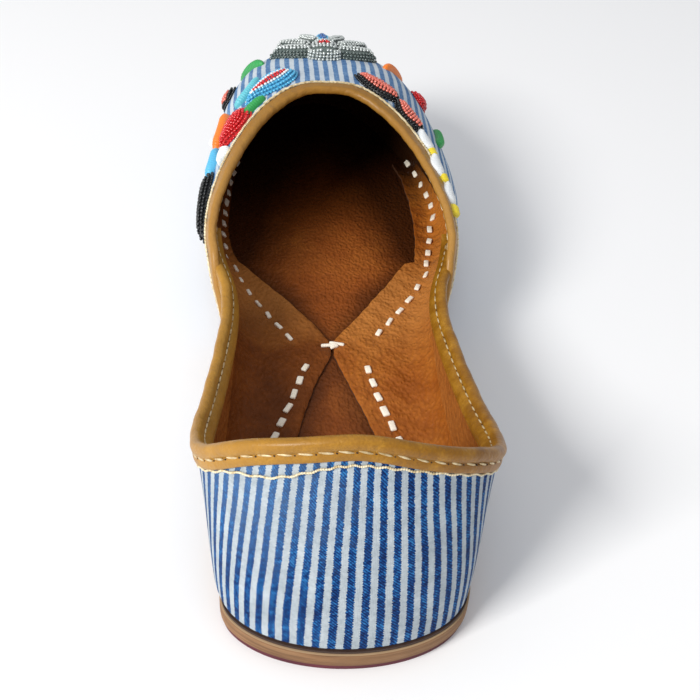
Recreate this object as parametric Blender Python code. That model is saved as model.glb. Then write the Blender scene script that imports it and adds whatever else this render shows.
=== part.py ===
"""A punjabi jutti, the right shoe of a pair: a flat slip-on with a leather sole, a low striped cotton
upper in two pieces, and a leather binding folded over each free edge.

The upper is worked out on a ring of sections that runs round the last. Each section is one row of
SECTIONS: where the wall stands on the sole, where it ends at the rim, and how it leans at both ends.
+Y points from the heel to the toe, +X to the outer side of the foot, +Z up, all in metres.
"""

import math
from collections import namedtuple

import bmesh
import bpy
import numpy as np
from mathutils import Vector

# The last.
LENGTH = 0.254            # heel to toe along the upper's lower edge
SWING_START = 0.030       # in front of this the last bends to the inner side of the foot
TOE_SWING = 0.003         # how far the toe has moved inwards at its tip
SOLE_SWAY = 0.003         # how far the sole line moves outwards beside the little toe
SWAY_FROM_Y = 0.100

Section = namedtuple("Section", "foot_y foot_x rim_x rim_y rim_z foot_lean rim_lean fullness")
SECTIONS = [  # leans in degrees from upright, outwards above 0; fullness: the curve's handles over its span
    #       foot_y  foot_x  rim_x   rim_y   rim_z   leans     fullness
    Section(0.000, 0.0000, 0.0000, 0.0100, 0.0650, -2, -9, 0.40),     # heel seam
    Section(0.008, 0.0250, 0.0215, 0.0135, 0.0570, 2, -6, 0.40),      # back of the heel
    Section(0.027, 0.0320, 0.0346, 0.0280, 0.0450, 5, 3, 0.40),       # corner of the heel
    Section(0.050, 0.0313, 0.0350, 0.0500, 0.0360, 6, 6, 0.40),       # side of the heel
    Section(0.085, 0.0292, 0.0320, 0.0850, 0.0300, 10, 2, 0.40),      # waist
    Section(0.110, 0.0300, 0.0320, 0.1090, 0.0290, 12, -5, 0.40),     # where the vamp's wing starts
    Section(0.130, 0.0325, 0.0352, 0.1240, 0.0340, 14, -12, 0.40),    # top of the wing
    Section(0.157, 0.0372, 0.0330, 0.1410, 0.0415, 11, -38, 0.40),    # ball of the foot
    Section(0.193, 0.0362, 0.0245, 0.1625, 0.0480, 4, -62, 0.42),     # little toe
    Section(0.227, 0.0272, 0.0150, 0.1755, 0.0520, -3, -78, 0.45),    # shoulder of the toe
    Section(0.246, 0.0160, 0.0080, 0.1800, 0.0540, -10, -85, 0.46),   # beside the tip
    Section(0.254, 0.0000, 0.0000, 0.1810, 0.0545, -14, -87, 0.46),   # tip of the toe
]

# The two leathers of the upper, each a wall of its own.
WALL = 0.0016             # cotton, paste and lining together
VAMP_LAP = 0.0003         # how far the vamp's inner face sinks into the quarter that it is pasted to
VAMP_FACE = WALL - VAMP_LAP
WING_FOOT_Y = 0.098       # the vamp's rear edge meets the sole here
WING_TOP_Y = 0.126        # and has climbed to the throat here
WING_TOE = 0.04           # share of the wall that the wing still has at its foot
QUARTER_FRONT_Y = 0.150   # the quarter ends here, inside the vamp
QUARTER_DROP_Y = 0.108    # from here forward its top line drops below the throat
QUARTER_DROP = 0.30       # by this share of the wall's height

# The bindings.
GAP = 0.0003              # between pieces that touch
STRIP = 0.0008            # thickness of the folded leather strip
OUTER_TURN = 0.0075       # how far the quarter's strip comes down outside
VAMP_OUTER_TURN = 0.0050  # and the vamp's
INNER_TURN = 0.0040       # how far both come down inside
FOLD_RAMP = 0.013         # the vamp must stand this far above the quarter for the full fold
BINDING_SKIPS = 5         # columns at each end of the quarter that its binding leaves bare
BINDING_TAPER_Y = 0.098   # the quarter's binding narrows from here to its end beside the wing
BINDING_END_TURN = 0.0060
WING_TURN = 0.8           # the vamp's binding covers at most this share of the wing's height
LEAST_FOLD = 0.02         # share of the inner fold that is kept where the vamp lies on the quarter
SHOULDER = 0.4            # rounding of the fold, over its distance from the wall
FOLD_TOP = 4              # the point of the folded line that stands on top of the edge
BINDING_COLOUR = (0.60, 0.38, 0.17)

# The sole, from the ground up.
STACK_HEEL = 0.0075       # ground to the upper's lower edge
STACK_TAPER = 0.0012      # less than that under the forefoot
TAPER_FROM_Y, TAPER_TO_Y = 0.060, 0.140
OUTSOLE = 0.0016
RAND = 0.0007
INSOLE = 0.0024
EDGE_PROUD = 0.0008       # midsole past the upper
OUTSOLE_PROUD = 0.0003
RAND_PROUD = 0.0004
LEDGE_FROM_Y = 0.078      # in front of this the sole widens to carry the vamp outside the quarter
ARCH = 0.0012             # rise of the waist off the ground
ARCH_FROM_Y, ARCH_TO_Y = 0.062, 0.128
TOE_SPRING = 0.0055
SPRING_FROM_Y = 0.190

# Fineness of the meshes.
STEP = 0.002              # between the two points that a slope is taken from, in turn and in rise
EDGE_STEP = 0.03          # of the rise, over which the wall is measured below an edge
SHARP = 40.0              # degrees; edges that bend more than this are shaded sharp
VAMP_COLUMNS, VAMP_ROWS = 56, 9
QUARTER_COLUMNS, QUARTER_ROWS = 56, 6
OUTLINE_POINTS = 44       # on each side of the sole
SOLE_CUTS_Y = [0.062, 0.073, 0.084, 0.095, 0.106, 0.117, 0.128, 0.190, 0.202, 0.214, 0.226, 0.238, 0.248]


def ease(x):
    """0 below 0, 1 above 1, level at both ends."""
    x = min(1.0, max(0.0, x))
    return x * x * (3.0 - 2.0 * x)


def foot_y(turn):
    """How far from the heel a place on the ring stands on the sole: 0 at the heel seam, pi at the toe's tip."""
    return LENGTH * (1.0 - math.cos(turn)) / 2.0


def turn_at(y):
    """The place on the ring, on the right side, of a point that far from the heel on the sole line."""
    return math.acos(1.0 - 2.0 * y / LENGTH)


def ring_rows():
    """The table as a closed ring: the right side's rows, the left side's mirrored, one more at each end."""
    mirror = np.array([-1.0, -1.0, 1.0, 1.0, 1.0, 1.0, 1.0])
    keys = [turn_at(row.foot_y) for row in SECTIONS]
    rows = [np.array(row[1:]) for row in SECTIONS]
    left_keys = [-key for key in keys[:0:-1]]
    left_rows = [row * mirror for row in rows[:0:-1]]
    before, after = -2.0 * math.pi + keys[-2], 2.0 * math.pi - keys[-2]
    keys = [before] + left_keys + keys + [after]
    rows = [rows[-2]] + left_rows + rows + [rows[-2] * mirror]
    return np.array(keys), np.array(rows)


def spline_bends(keys, rows):
    """Second derivatives at the rows of the smooth curve through them."""
    count = len(keys)
    step = np.diff(keys)
    system = np.eye(count)
    right = np.zeros(rows.shape)
    for i in range(1, count - 1):
        system[i, i - 1:i + 2] = step[i - 1], 2.0 * (step[i - 1] + step[i]), step[i]
        rise = (rows[i + 1] - rows[i]) / step[i] - (rows[i] - rows[i - 1]) / step[i - 1]
        right[i] = 6.0 * rise
    return np.linalg.solve(system, right)


KEYS, ROWS = ring_rows()
BENDS = spline_bends(KEYS, ROWS)


def section(turn):
    """The table's columns at any place on the ring, read from a smooth curve through its rows."""
    turn = (turn + math.pi) % (2.0 * math.pi) - math.pi
    i = int(np.searchsorted(KEYS, turn)) - 1
    step = KEYS[i + 1] - KEYS[i]
    a = (KEYS[i + 1] - turn) / step
    b = 1.0 - a
    line = a * ROWS[i] + b * ROWS[i + 1]
    curve = line + ((a ** 3 - a) * BENDS[i] + (b ** 3 - b) * BENDS[i + 1]) * step ** 2 / 6.0
    return curve.tolist()


def ground_curve(y):
    """Height of the sole's underside: flat at heel and forefoot, arched at the waist, sprung at the toe."""
    waist = math.pi * (y - ARCH_FROM_Y) / (ARCH_TO_Y - ARCH_FROM_Y)
    arch = ARCH * math.sin(waist) ** 2 if 0.0 < waist < math.pi else 0.0
    spring = TOE_SPRING * max(0.0, (y - SPRING_FROM_Y) / (LENGTH - SPRING_FROM_Y)) ** 2
    return arch + spring


def stack(y):
    """Thickness of the whole sole under the upper."""
    return STACK_HEEL - STACK_TAPER * ease((y - TAPER_FROM_Y) / (TAPER_TO_Y - TAPER_FROM_Y))


def foot_point(turn):
    """A point of the upper's lower edge, before the last is bent."""
    y = foot_y(turn)
    sway = SOLE_SWAY * math.sin(math.pi * max(0.0, (y - SWAY_FROM_Y) / (LENGTH - SWAY_FROM_Y))) ** 2
    return Vector((section(turn)[0] + sway, y, ground_curve(y) + stack(y)))


def outward(turn):
    """Level direction out of the shoe, square to the sole line."""
    along = foot_point(turn + STEP) - foot_point(turn - STEP)
    return Vector((along.y, -along.x, 0.0)).normalized()


def bend_last(point):
    """The last's swing to the inner side, in front of the heel."""
    reach = max(0.0, (point.y - SWING_START) / (LENGTH - SWING_START))
    return Vector((point.x - TOE_SWING * reach ** 2, point.y, point.z))


def last_point(turn, rise):
    """The upper's outer face, with rise 0 at the sole and 1 at the rim of the section."""
    _, rim_x, rim_y, rim_z, foot_lean, rim_lean, fullness = section(turn)
    foot = foot_point(turn)
    rim = Vector((rim_x, rim_y, rim_z))
    out = outward(turn)
    reach = fullness * (rim - foot).length
    lean_low, lean_high = math.radians(foot_lean), math.radians(rim_lean)
    low = foot + reach * (out * math.sin(lean_low) + Vector((0, 0, math.cos(lean_low))))
    high = rim - reach * (out * math.sin(lean_high) + Vector((0, 0, math.cos(lean_high))))
    fall = 1.0 - rise
    curve = fall ** 3 * foot + 3 * fall ** 2 * rise * low + 3 * fall * rise ** 2 * high + rise ** 3 * rim
    return bend_last(curve)


def wall_point(turn, rise, offset):
    """A point that far outside the upper's outer face, or inside it below 0."""
    across = last_point(turn + STEP, rise) - last_point(turn - STEP, rise)
    up = last_point(turn, rise + STEP) - last_point(turn, rise - STEP)
    return last_point(turn, rise) + offset * across.cross(up).normalized()


def wall_height(turn):
    """Length of a section from the sole to the rim, along the wall."""
    points = [last_point(turn, i / 6.0) for i in range(7)]
    return sum((b - a).length for a, b in zip(points, points[1:]))


def edge_speed(turn, edge):
    """Metres of wall for each unit of rise, just below an edge at that rise."""
    return (last_point(turn, edge) - last_point(turn, edge - EDGE_STEP)).length / EDGE_STEP


def vamp_top(turn):
    """Share of the section that the vamp covers: all of it but beside the wings."""
    climb = ease((foot_y(turn) - WING_FOOT_Y) / (WING_TOP_Y - WING_FOOT_Y))
    return WING_TOE + (1.0 - WING_TOE) * climb


def quarter_top(turn):
    """Share of the section that the quarter covers: all of it but inside the vamp."""
    return 1.0 - QUARTER_DROP * ease((foot_y(turn) - QUARTER_DROP_Y) / (QUARTER_FRONT_Y - QUARTER_DROP_Y))


def blend(a, b, share):
    return a + (b - a) * share


def make_object(name, mesh_data, colour, roughness):
    """One named piece with its own material."""
    mesh = bpy.data.meshes.new(name)
    mesh_data.to_mesh(mesh)
    mesh_data.free()
    material = bpy.data.materials.new(name)
    material.use_nodes = True
    shader = material.node_tree.nodes["Principled BSDF"]
    shader.inputs["Base Color"].default_value = (*colour, 1.0)
    shader.inputs["Roughness"].default_value = roughness
    shader.inputs["Metallic"].default_value = 0.0
    mesh.materials.append(material)
    piece = bpy.data.objects.new(name, mesh)
    bpy.context.collection.objects.link(piece)
    mesh.shade_smooth()
    mesh.set_sharp_from_angle(angle=math.radians(SHARP))
    return piece


def sheet_solid(columns, rows, place):
    """A closed sheet of columns by rows cells. place(u, v, side) puts each point, side 0 inside, 1 outside."""
    bm = bmesh.new()
    bmesh.ops.create_grid(bm, x_segments=columns, y_segments=rows, size=1.0)
    inner = list(bm.verts)
    grown = bmesh.ops.extrude_face_region(bm, geom=list(bm.faces))
    outer = [item for item in grown["geom"] if isinstance(item, bmesh.types.BMVert)]
    for side, verts in ((0, inner), (1, outer)):
        for vert in verts:
            vert.co = place((vert.co.x + 1.0) / 2.0, (vert.co.y + 1.0) / 2.0, side)
    bmesh.ops.recalc_face_normals(bm, faces=bm.faces)
    return bm


def vamp_turns():
    """The vamp's columns, from the right wing round the toe to the left wing."""
    start = turn_at(WING_FOOT_Y)
    return [blend(start, 2.0 * math.pi - start, i / VAMP_COLUMNS) for i in range(VAMP_COLUMNS + 1)]


def quarter_turns():
    """The quarter's columns, from its left front end round the heel to the right one."""
    end = turn_at(QUARTER_FRONT_Y)
    return [blend(-end, end, i / QUARTER_COLUMNS) for i in range(QUARTER_COLUMNS + 1)]


def vamp_sheet():
    turns = vamp_turns()

    def place(u, v, side):
        turn = turns[round(u * VAMP_COLUMNS)]
        return wall_point(turn, v * vamp_top(turn), VAMP_FACE if side else -VAMP_LAP)

    return sheet_solid(VAMP_COLUMNS, VAMP_ROWS, place)


def quarter_sheet():
    turns = quarter_turns()

    def place(u, v, side):
        turn = turns[round(u * QUARTER_COLUMNS)]
        return wall_point(turn, v * quarter_top(turn), 0.0 if side else -WALL)

    return sheet_solid(QUARTER_COLUMNS, QUARTER_ROWS, place)


def make_upper():
    """Quarter and vamp made one wall, the vamp's wings standing on the outside of the quarter."""
    upper = make_object("upper", quarter_sheet(), (0.62, 0.72, 0.80), 0.85)
    vamp = make_object("vamp_shell", vamp_sheet(), (0.62, 0.72, 0.80), 0.85)
    vamp.hide_render = True
    vamp.display_type = "WIRE"
    union = upper.modifiers.new("vamp", "BOOLEAN")
    union.operation = "UNION"
    union.solver = "EXACT"
    union.object = vamp
    return upper


def folded_path(outer_turn, outer_face, inner_face):
    """The strip's middle line folded over an edge, as (depth below the edge, offset from the outer face)."""
    lift = GAP + STRIP / 2.0
    outside, inside = outer_face + lift, inner_face - lift
    shoulder = SHOULDER * lift
    return [
        (outer_turn, outside),
        (outer_turn / 2.0, outside),
        (0.0, outside),
        (shoulder / 2.0 - lift, outside - shoulder),
        (-lift, (outside + inside) / 2.0),
        (shoulder / 2.0 - lift, inside + shoulder),
        (0.0, inside),
        (INNER_TURN / 2.0, inside),
        (INNER_TURN, inside),
    ]


def shortened_path(path, share):
    """The same line, ending where that share of its run from the top of the edge to its inner end is left."""
    run = [Vector(point) for point in path[FOLD_TOP:]]
    lengths = [(b - a).length for a, b in zip(run, run[1:])]
    points = []
    for i in range(1, len(run)):
        way = share * sum(lengths) * i / len(lengths)
        leg = 0
        while leg < len(lengths) - 1 and way > lengths[leg]:
            way -= lengths[leg]
            leg += 1
        points.append(tuple(run[leg].lerp(run[leg + 1], way / lengths[leg])))
    return path[:FOLD_TOP + 1] + points


def strip_solid(turns, path_at, edge_at):
    """A folded strip along an edge: path_at gives its middle line, edge_at the edge's share of the wall."""
    columns = len(turns) - 1
    points = len(path_at(turns[0]))

    def place(u, v, side):
        turn = turns[round(u * columns)]
        path = path_at(turn)
        i = round(v * (points - 1))
        ahead, behind = path[min(i + 1, points - 1)], path[max(i - 1, 0)]
        run = Vector((ahead[0] - behind[0], ahead[1] - behind[1])).normalized()
        half = STRIP / 2.0 if side else -STRIP / 2.0
        depth = path[i][0] + half * run.y
        offset = path[i][1] - half * run.x
        edge = edge_at(turn)
        return wall_point(turn, edge - depth / edge_speed(turn, edge), offset)

    return sheet_solid(columns, points - 1, place)


def make_vamp_binding():
    """Down both wings it only laps the vamp's edge; round the throat it folds inside as well."""

    def path_at(turn):
        height = wall_height(turn)
        outer_turn = min(VAMP_OUTER_TURN, WING_TURN * vamp_top(turn) * height)
        room = (vamp_top(turn) - quarter_top(turn)) * height
        if foot_y(turn) > QUARTER_FRONT_Y:
            room = height
        share = min(1.0, max(LEAST_FOLD, (room - GAP) / FOLD_RAMP))
        return shortened_path(folded_path(outer_turn, VAMP_FACE, -VAMP_LAP), share)

    return make_object("vamp_binding", strip_solid(vamp_turns(), path_at, vamp_top), BINDING_COLOUR, 0.5)


def make_quarter_binding():
    """From wing to wing round the heel, narrower where the wings come up to it."""
    turns = quarter_turns()[BINDING_SKIPS:-BINDING_SKIPS]
    end_y = foot_y(turns[-1])

    def path_at(turn):
        narrow = ease((foot_y(turn) - BINDING_TAPER_Y) / (end_y - BINDING_TAPER_Y))
        return folded_path(blend(OUTER_TURN, BINDING_END_TURN, narrow), 0.0, -WALL)

    return make_object("quarter_binding", strip_solid(turns, path_at, quarter_top), BINDING_COLOUR, 0.5)


def sole_outline(proud):
    """The sole line, moved that far out past the upper, as a closed loop of level points."""
    loop = []
    for i in range(2 * OUTLINE_POINTS):
        turn = math.pi * i / OUTLINE_POINTS
        foot = foot_point(turn)
        under_vamp = ease((foot.y - LEDGE_FROM_Y) / (WING_FOOT_Y - LEDGE_FROM_Y))
        vamp = VAMP_FACE * under_vamp if proud > 0.0 else 0.0
        level = foot + (proud + vamp) * outward(turn)
        loop.append(bend_last(Vector((level.x, level.y, 0.0))))
    return loop


def lift_points(verts, height):
    for vert in verts:
        vert.co.z = height(vert.co.y)


def make_plate(name, proud, bottom, top, colour, roughness):
    """A layer of the sole over its whole outline, bent to the arch and the toe spring."""
    bm = bmesh.new()
    bm.faces.new([bm.verts.new(point) for point in sole_outline(proud)])
    for y in SOLE_CUTS_Y:
        geometry = list(bm.verts) + list(bm.edges) + list(bm.faces)
        bmesh.ops.bisect_plane(bm, geom=geometry, plane_co=(0, y, 0), plane_no=(0, 1, 0), dist=1e-6)
    low = list(bm.verts)
    grown = bmesh.ops.extrude_face_region(bm, geom=list(bm.faces))
    high = [item for item in grown["geom"] if isinstance(item, bmesh.types.BMVert)]
    lift_points(low, bottom)
    lift_points(high, top)
    bmesh.ops.recalc_face_normals(bm, faces=bm.faces)
    return make_object(name, bm, colour, roughness)


def make_rand():
    """A narrow ring of leather under the wall, between the upper and the midsole."""
    bm = bmesh.new()
    edges = []
    for proud in (RAND_PROUD, -WALL - GAP):
        verts = [bm.verts.new(point) for point in sole_outline(proud)]
        edges += [bm.edges.new(pair) for pair in zip(verts, verts[1:] + verts[:1])]
    ring = bmesh.ops.bridge_loops(bm, edges=edges)["faces"]
    low = list(bm.verts)
    grown = bmesh.ops.extrude_face_region(bm, geom=ring)
    high = [item for item in grown["geom"] if isinstance(item, bmesh.types.BMVert)]
    lift_points(low, lambda y: ground_curve(y) + stack(y) - 2 * GAP - RAND)
    lift_points(high, lambda y: ground_curve(y) + stack(y) - 2 * GAP)
    bmesh.ops.recalc_face_normals(bm, faces=bm.faces)
    return make_object("rand", bm, (0.09, 0.05, 0.04), 0.6)


def make_sole():
    """Outsole, midsole, rand and insole, each on the one below."""
    midsole_top = 3 * GAP + RAND

    def midsole_height(y):
        return ground_curve(y) + stack(y) - midsole_top

    make_plate("outsole", OUTSOLE_PROUD, ground_curve, lambda y: ground_curve(y) + OUTSOLE,
               (0.22, 0.03, 0.05), 0.6)
    make_plate("midsole", EDGE_PROUD, lambda y: ground_curve(y) + OUTSOLE + GAP, midsole_height,
               (0.50, 0.31, 0.18), 0.65)
    make_rand()
    make_plate("insole", -WALL - 3 * GAP, lambda y: midsole_height(y) + GAP,
               lambda y: midsole_height(y) + GAP + INSOLE, (0.28, 0.13, 0.06), 0.5)


def centre_on_ground():
    """Moves every mesh so that the origin is at the middle of the model's box, on the ground."""
    depsgraph = bpy.context.evaluated_depsgraph_get()
    corners = []
    for piece in bpy.data.objects:
        if not piece.hide_render:
            mesh = piece.evaluated_get(depsgraph).data
            corners += [vert.co.copy() for vert in mesh.vertices]
    low = [min(corner[i] for corner in corners) for i in range(3)]
    high = [max(corner[i] for corner in corners) for i in range(3)]
    shift = Vector((-(low[0] + high[0]) / 2.0, -(low[1] + high[1]) / 2.0, -low[2]))
    for piece in bpy.data.objects:
        for vert in piece.data.vertices:
            vert.co += shift
    print("moved by", [round(value, 6) for value in shift])


for old in list(bpy.data.objects):
    bpy.data.objects.remove(old)
make_sole()
make_upper()
make_vamp_binding()
make_quarter_binding()
centre_on_ground()
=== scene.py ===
"""A punjabi jutti, the right shoe of a pair, dressed in its cotton, leather, thread and beads.

The shapes are worked out on the last that the frame was made on: +Y from the heel to the toe, +X to
the outer side of the foot, +Z up, in metres, with 0 at the heel seam until a piece is finished.
"""

import math
import random
from collections import namedtuple
from functools import lru_cache

import bmesh
import bpy
import numpy as np
from mathutils import Matrix, Vector


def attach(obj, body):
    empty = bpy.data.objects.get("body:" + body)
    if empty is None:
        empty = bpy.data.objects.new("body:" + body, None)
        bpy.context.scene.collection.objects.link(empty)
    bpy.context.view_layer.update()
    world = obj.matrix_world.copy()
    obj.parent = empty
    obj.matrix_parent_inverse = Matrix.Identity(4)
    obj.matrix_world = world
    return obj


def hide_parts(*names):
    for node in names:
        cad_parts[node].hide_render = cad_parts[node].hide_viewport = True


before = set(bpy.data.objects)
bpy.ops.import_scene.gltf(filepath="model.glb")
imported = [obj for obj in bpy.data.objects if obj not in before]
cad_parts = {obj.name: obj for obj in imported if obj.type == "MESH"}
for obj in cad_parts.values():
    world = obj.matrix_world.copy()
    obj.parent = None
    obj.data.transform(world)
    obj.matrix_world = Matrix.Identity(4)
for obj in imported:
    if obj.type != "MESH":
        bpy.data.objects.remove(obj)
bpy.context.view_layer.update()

# ---------------------------------------------------------------------------------------------------
# Outsole: a thin sheet of leather dyed dark maroon, cut to the sole line and pasted under the rest.
# The last's sections, which every later piece follows, are set down here with it.
# ---------------------------------------------------------------------------------------------------
HEEL_SEAM = Vector((-0.00084, -0.12765, 0.0))    # where the heel seam stands in the frame
LENGTH = 0.254
SWING_START, TOE_SWING = 0.030, 0.003            # the toe's turn to the inner side
SOLE_SWAY, SWAY_FROM_Y = 0.003, 0.100            # the sole line's fullness beside the little toe
STEP = 0.002                                     # between the two points a slope is taken from

Section = namedtuple("Section", "foot_y foot_x rim_x rim_y rim_z foot_lean rim_lean fullness")
SECTIONS = [  # leans in degrees from upright, outwards above 0; fullness: the curve's handles over its span
    #       foot_y  foot_x  rim_x   rim_y   rim_z   leans     fullness
    Section(0.000, 0.0000, 0.0000, 0.0100, 0.0650, -2, -9, 0.40),     # heel seam
    Section(0.008, 0.0250, 0.0215, 0.0135, 0.0570, 2, -6, 0.40),      # back of the heel
    Section(0.027, 0.0320, 0.0346, 0.0280, 0.0450, 5, 3, 0.40),       # corner of the heel
    Section(0.050, 0.0313, 0.0350, 0.0500, 0.0360, 6, 6, 0.40),       # side of the heel
    Section(0.085, 0.0292, 0.0320, 0.0850, 0.0300, 10, 2, 0.40),      # waist
    Section(0.110, 0.0300, 0.0320, 0.1090, 0.0290, 12, -5, 0.40),     # where the vamp's wing starts
    Section(0.130, 0.0325, 0.0352, 0.1240, 0.0340, 14, -12, 0.40),    # top of the wing
    Section(0.157, 0.0372, 0.0330, 0.1410, 0.0415, 11, -38, 0.40),    # ball of the foot
    Section(0.193, 0.0362, 0.0245, 0.1625, 0.0480, 4, -62, 0.42),     # little toe
    Section(0.227, 0.0272, 0.0150, 0.1755, 0.0520, -3, -78, 0.45),    # shoulder of the toe
    Section(0.246, 0.0160, 0.0080, 0.1800, 0.0540, -10, -85, 0.46),   # beside the tip
    Section(0.254, 0.0000, 0.0000, 0.1810, 0.0545, -14, -87, 0.46),   # tip of the toe
]
STACK_HEEL, STACK_TAPER = 0.0075, 0.0012         # the whole sole under the upper, and its loss forward
TAPER_FROM_Y, TAPER_TO_Y = 0.060, 0.140
ARCH, ARCH_FROM_Y, ARCH_TO_Y = 0.0012, 0.062, 0.128
TOE_SPRING, SPRING_FROM_Y = 0.0055, 0.190
OUTSOLE, OUTSOLE_PROUD = 0.0016, 0.0003
VAMP_FACE = 0.0013                               # the vamp's outer face over the quarter's
WALL, VAMP_LAP = 0.0016, 0.0003                  # the quarter's inner face under that, and the vamp's
LEDGE_FROM_Y, LEDGE_TO_Y = 0.078, 0.098          # here the sole widens to carry the vamp
OUTLINE_POINTS = 150                             # of the sole line, on each side
SOLE_TUCK = {-1: 0.0026, 1: 0.0008}              # how far the sole draws in under the quarter, by side
TUCK_FROM_Y, TUCK_GROWS = 0.010, 0.014           # where that begins, and over what length
TUCK_TO_Y, TUCK_FADES = 0.080, 0.035             # and where and how it ends
BENDING_CUTS = 64                                # a layer's cuts across, at which it bends
MAROON, WORN_MAROON = (0.075, 0.007, 0.018), (0.14, 0.02, 0.035)


def ease(x):
    """Rises softly from 0 to 1 while x does."""
    x = min(1.0, max(0.0, x))
    return x * x * (3.0 - 2.0 * x)


def foot_y(turn):
    """How far from the heel a place on the ring stands: turn 0 at the heel seam, pi at the toe's tip."""
    return LENGTH * (1.0 - math.cos(turn)) / 2.0


def turn_at(y):
    return math.acos(1.0 - 2.0 * y / LENGTH)


def ring_rows():
    """The sections all round the ring, the left ones mirrored, with one more past each end."""
    mirror = np.array([-1.0, -1.0, 1.0, 1.0, 1.0, 1.0, 1.0])
    keys = [turn_at(row.foot_y) for row in SECTIONS]
    rows = [np.array(row[1:]) for row in SECTIONS]
    left_keys = [-key for key in keys[:0:-1]]
    left_rows = [row * mirror for row in rows[:0:-1]]
    before, after = -2.0 * math.pi + keys[-2], 2.0 * math.pi - keys[-2]
    keys = [before] + left_keys + keys + [after]
    rows = [rows[-2]] + left_rows + rows + [rows[-2] * mirror]
    return np.array(keys), np.array(rows)


def spline_bends(keys, rows):
    """The second slopes of a smooth line through the sections' values."""
    count = len(keys)
    step = np.diff(keys)
    system = np.eye(count)
    right = np.zeros(rows.shape)
    for i in range(1, count - 1):
        system[i, i - 1:i + 2] = step[i - 1], 2.0 * (step[i - 1] + step[i]), step[i]
        rise = (rows[i + 1] - rows[i]) / step[i] - (rows[i] - rows[i - 1]) / step[i - 1]
        right[i] = 6.0 * rise
    return np.linalg.solve(system, right)


KEYS, ROWS = ring_rows()
BENDS = spline_bends(KEYS, ROWS)


@lru_cache(maxsize=None)
def section(turn):
    """A section's values at any turn, in the order of Section after foot_y."""
    turn = (turn + math.pi) % (2.0 * math.pi) - math.pi
    i = int(np.searchsorted(KEYS, turn)) - 1
    step = KEYS[i + 1] - KEYS[i]
    a = (KEYS[i + 1] - turn) / step
    b = 1.0 - a
    line = a * ROWS[i] + b * ROWS[i + 1]
    curve = line + ((a ** 3 - a) * BENDS[i] + (b ** 3 - b) * BENDS[i + 1]) * step ** 2 / 6.0
    return curve.tolist()


def ground_curve(y):
    """The height of the sole's underside, with the waist's arch and the toe spring."""
    waist = math.pi * (y - ARCH_FROM_Y) / (ARCH_TO_Y - ARCH_FROM_Y)
    arch = ARCH * math.sin(waist) ** 2 if 0.0 < waist < math.pi else 0.0
    return arch + TOE_SPRING * max(0.0, (y - SPRING_FROM_Y) / (LENGTH - SPRING_FROM_Y)) ** 2


def stack(y):
    """The thickness of the whole sole."""
    return STACK_HEEL - STACK_TAPER * ease((y - TAPER_FROM_Y) / (TAPER_TO_Y - TAPER_FROM_Y))


@lru_cache(maxsize=None)
def foot_point(turn):
    """Where the wall's outer face meets the sole."""
    y = foot_y(turn)
    sway = SOLE_SWAY * math.sin(math.pi * max(0.0, (y - SWAY_FROM_Y) / (LENGTH - SWAY_FROM_Y))) ** 2
    return Vector((section(turn)[0] + sway, y, ground_curve(y) + stack(y)))


def outward(turn):
    """The level direction out of the shoe."""
    along = foot_point(turn + STEP) - foot_point(turn - STEP)
    return Vector((along.y, -along.x, 0.0)).normalized()


def bend_last(point):
    """Turns the toe to the inner side."""
    reach = max(0.0, (point.y - SWING_START) / (LENGTH - SWING_START))
    return Vector((point.x - TOE_SWING * reach ** 2, point.y, point.z))


def sole_outline(proud):
    """The sole line, moved that far out past the upper, as a closed loop of level points."""
    loop = []
    for i in range(2 * OUTLINE_POINTS):
        turn = math.pi * i / OUTLINE_POINTS
        foot = foot_point(turn)
        under_vamp = ease((foot.y - LEDGE_FROM_Y) / (LEDGE_TO_Y - LEDGE_FROM_Y))
        vamp = under_vamp * (VAMP_FACE if proud > 0.0 else WALL - VAMP_LAP)
        tucked = SOLE_TUCK[1 if turn < math.pi else -1] * ease((foot.y - TUCK_FROM_Y) / TUCK_GROWS) * (
            1.0 - ease((foot.y - TUCK_TO_Y) / TUCK_FADES))
        level = foot + (proud + vamp - tucked) * outward(turn)
        loop.append(bend_last(Vector((level.x, level.y, 0.0))))
    return loop


def verts_of(grown):
    """The new vertices of an extrusion."""
    return [item for item in grown["geom"] if isinstance(item, bmesh.types.BMVert)]


def layer(proud, bottom, top, rounding):
    """A layer of the sole, bent to the arch and the toe spring, with softly rounded edges."""
    bm = bmesh.new()
    bm.faces.new([bm.verts.new(point) for point in sole_outline(proud)])
    for i in range(1, BENDING_CUTS):
        geometry = list(bm.verts) + list(bm.edges) + list(bm.faces)
        bmesh.ops.bisect_plane(bm, geom=geometry, plane_co=(0, LENGTH * i / BENDING_CUTS, 0),
                               plane_no=(0, 1, 0), dist=1e-6)
    low = list(bm.verts)
    high = verts_of(bmesh.ops.extrude_face_region(bm, geom=list(bm.faces)))
    for vert in low:
        vert.co.z = bottom(vert.co.y)
    for vert in high:
        vert.co.z = top(vert.co.y)
    bmesh.ops.recalc_face_normals(bm, faces=bm.faces)
    rims = [edge for edge in bm.edges if edge.is_manifold and edge.calc_face_angle() > 1.0]
    bmesh.ops.bevel(bm, geom=rims, offset=rounding, offset_type="OFFSET", segments=3, profile=0.5,
                    affect="EDGES", material=-1, clamp_overlap=True)
    return bm


def finish_piece(name, bm, materials, replaced=(), sharp=40.0):
    """Sets a finished mesh down in the frame and hands it over."""
    bmesh.ops.recalc_face_normals(bm, faces=bm.faces)
    bmesh.ops.translate(bm, verts=bm.verts, vec=HEEL_SEAM)
    mesh = bpy.data.meshes.new(name)
    bm.to_mesh(mesh)
    bm.free()
    for material in materials:
        mesh.materials.append(material)
    mesh.shade_smooth()
    mesh.set_sharp_from_angle(angle=math.radians(sharp))
    piece = bpy.data.objects.new(name, mesh)
    bpy.context.collection.objects.link(piece)
    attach(piece, "root")
    if replaced:
        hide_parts(*replaced)


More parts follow.
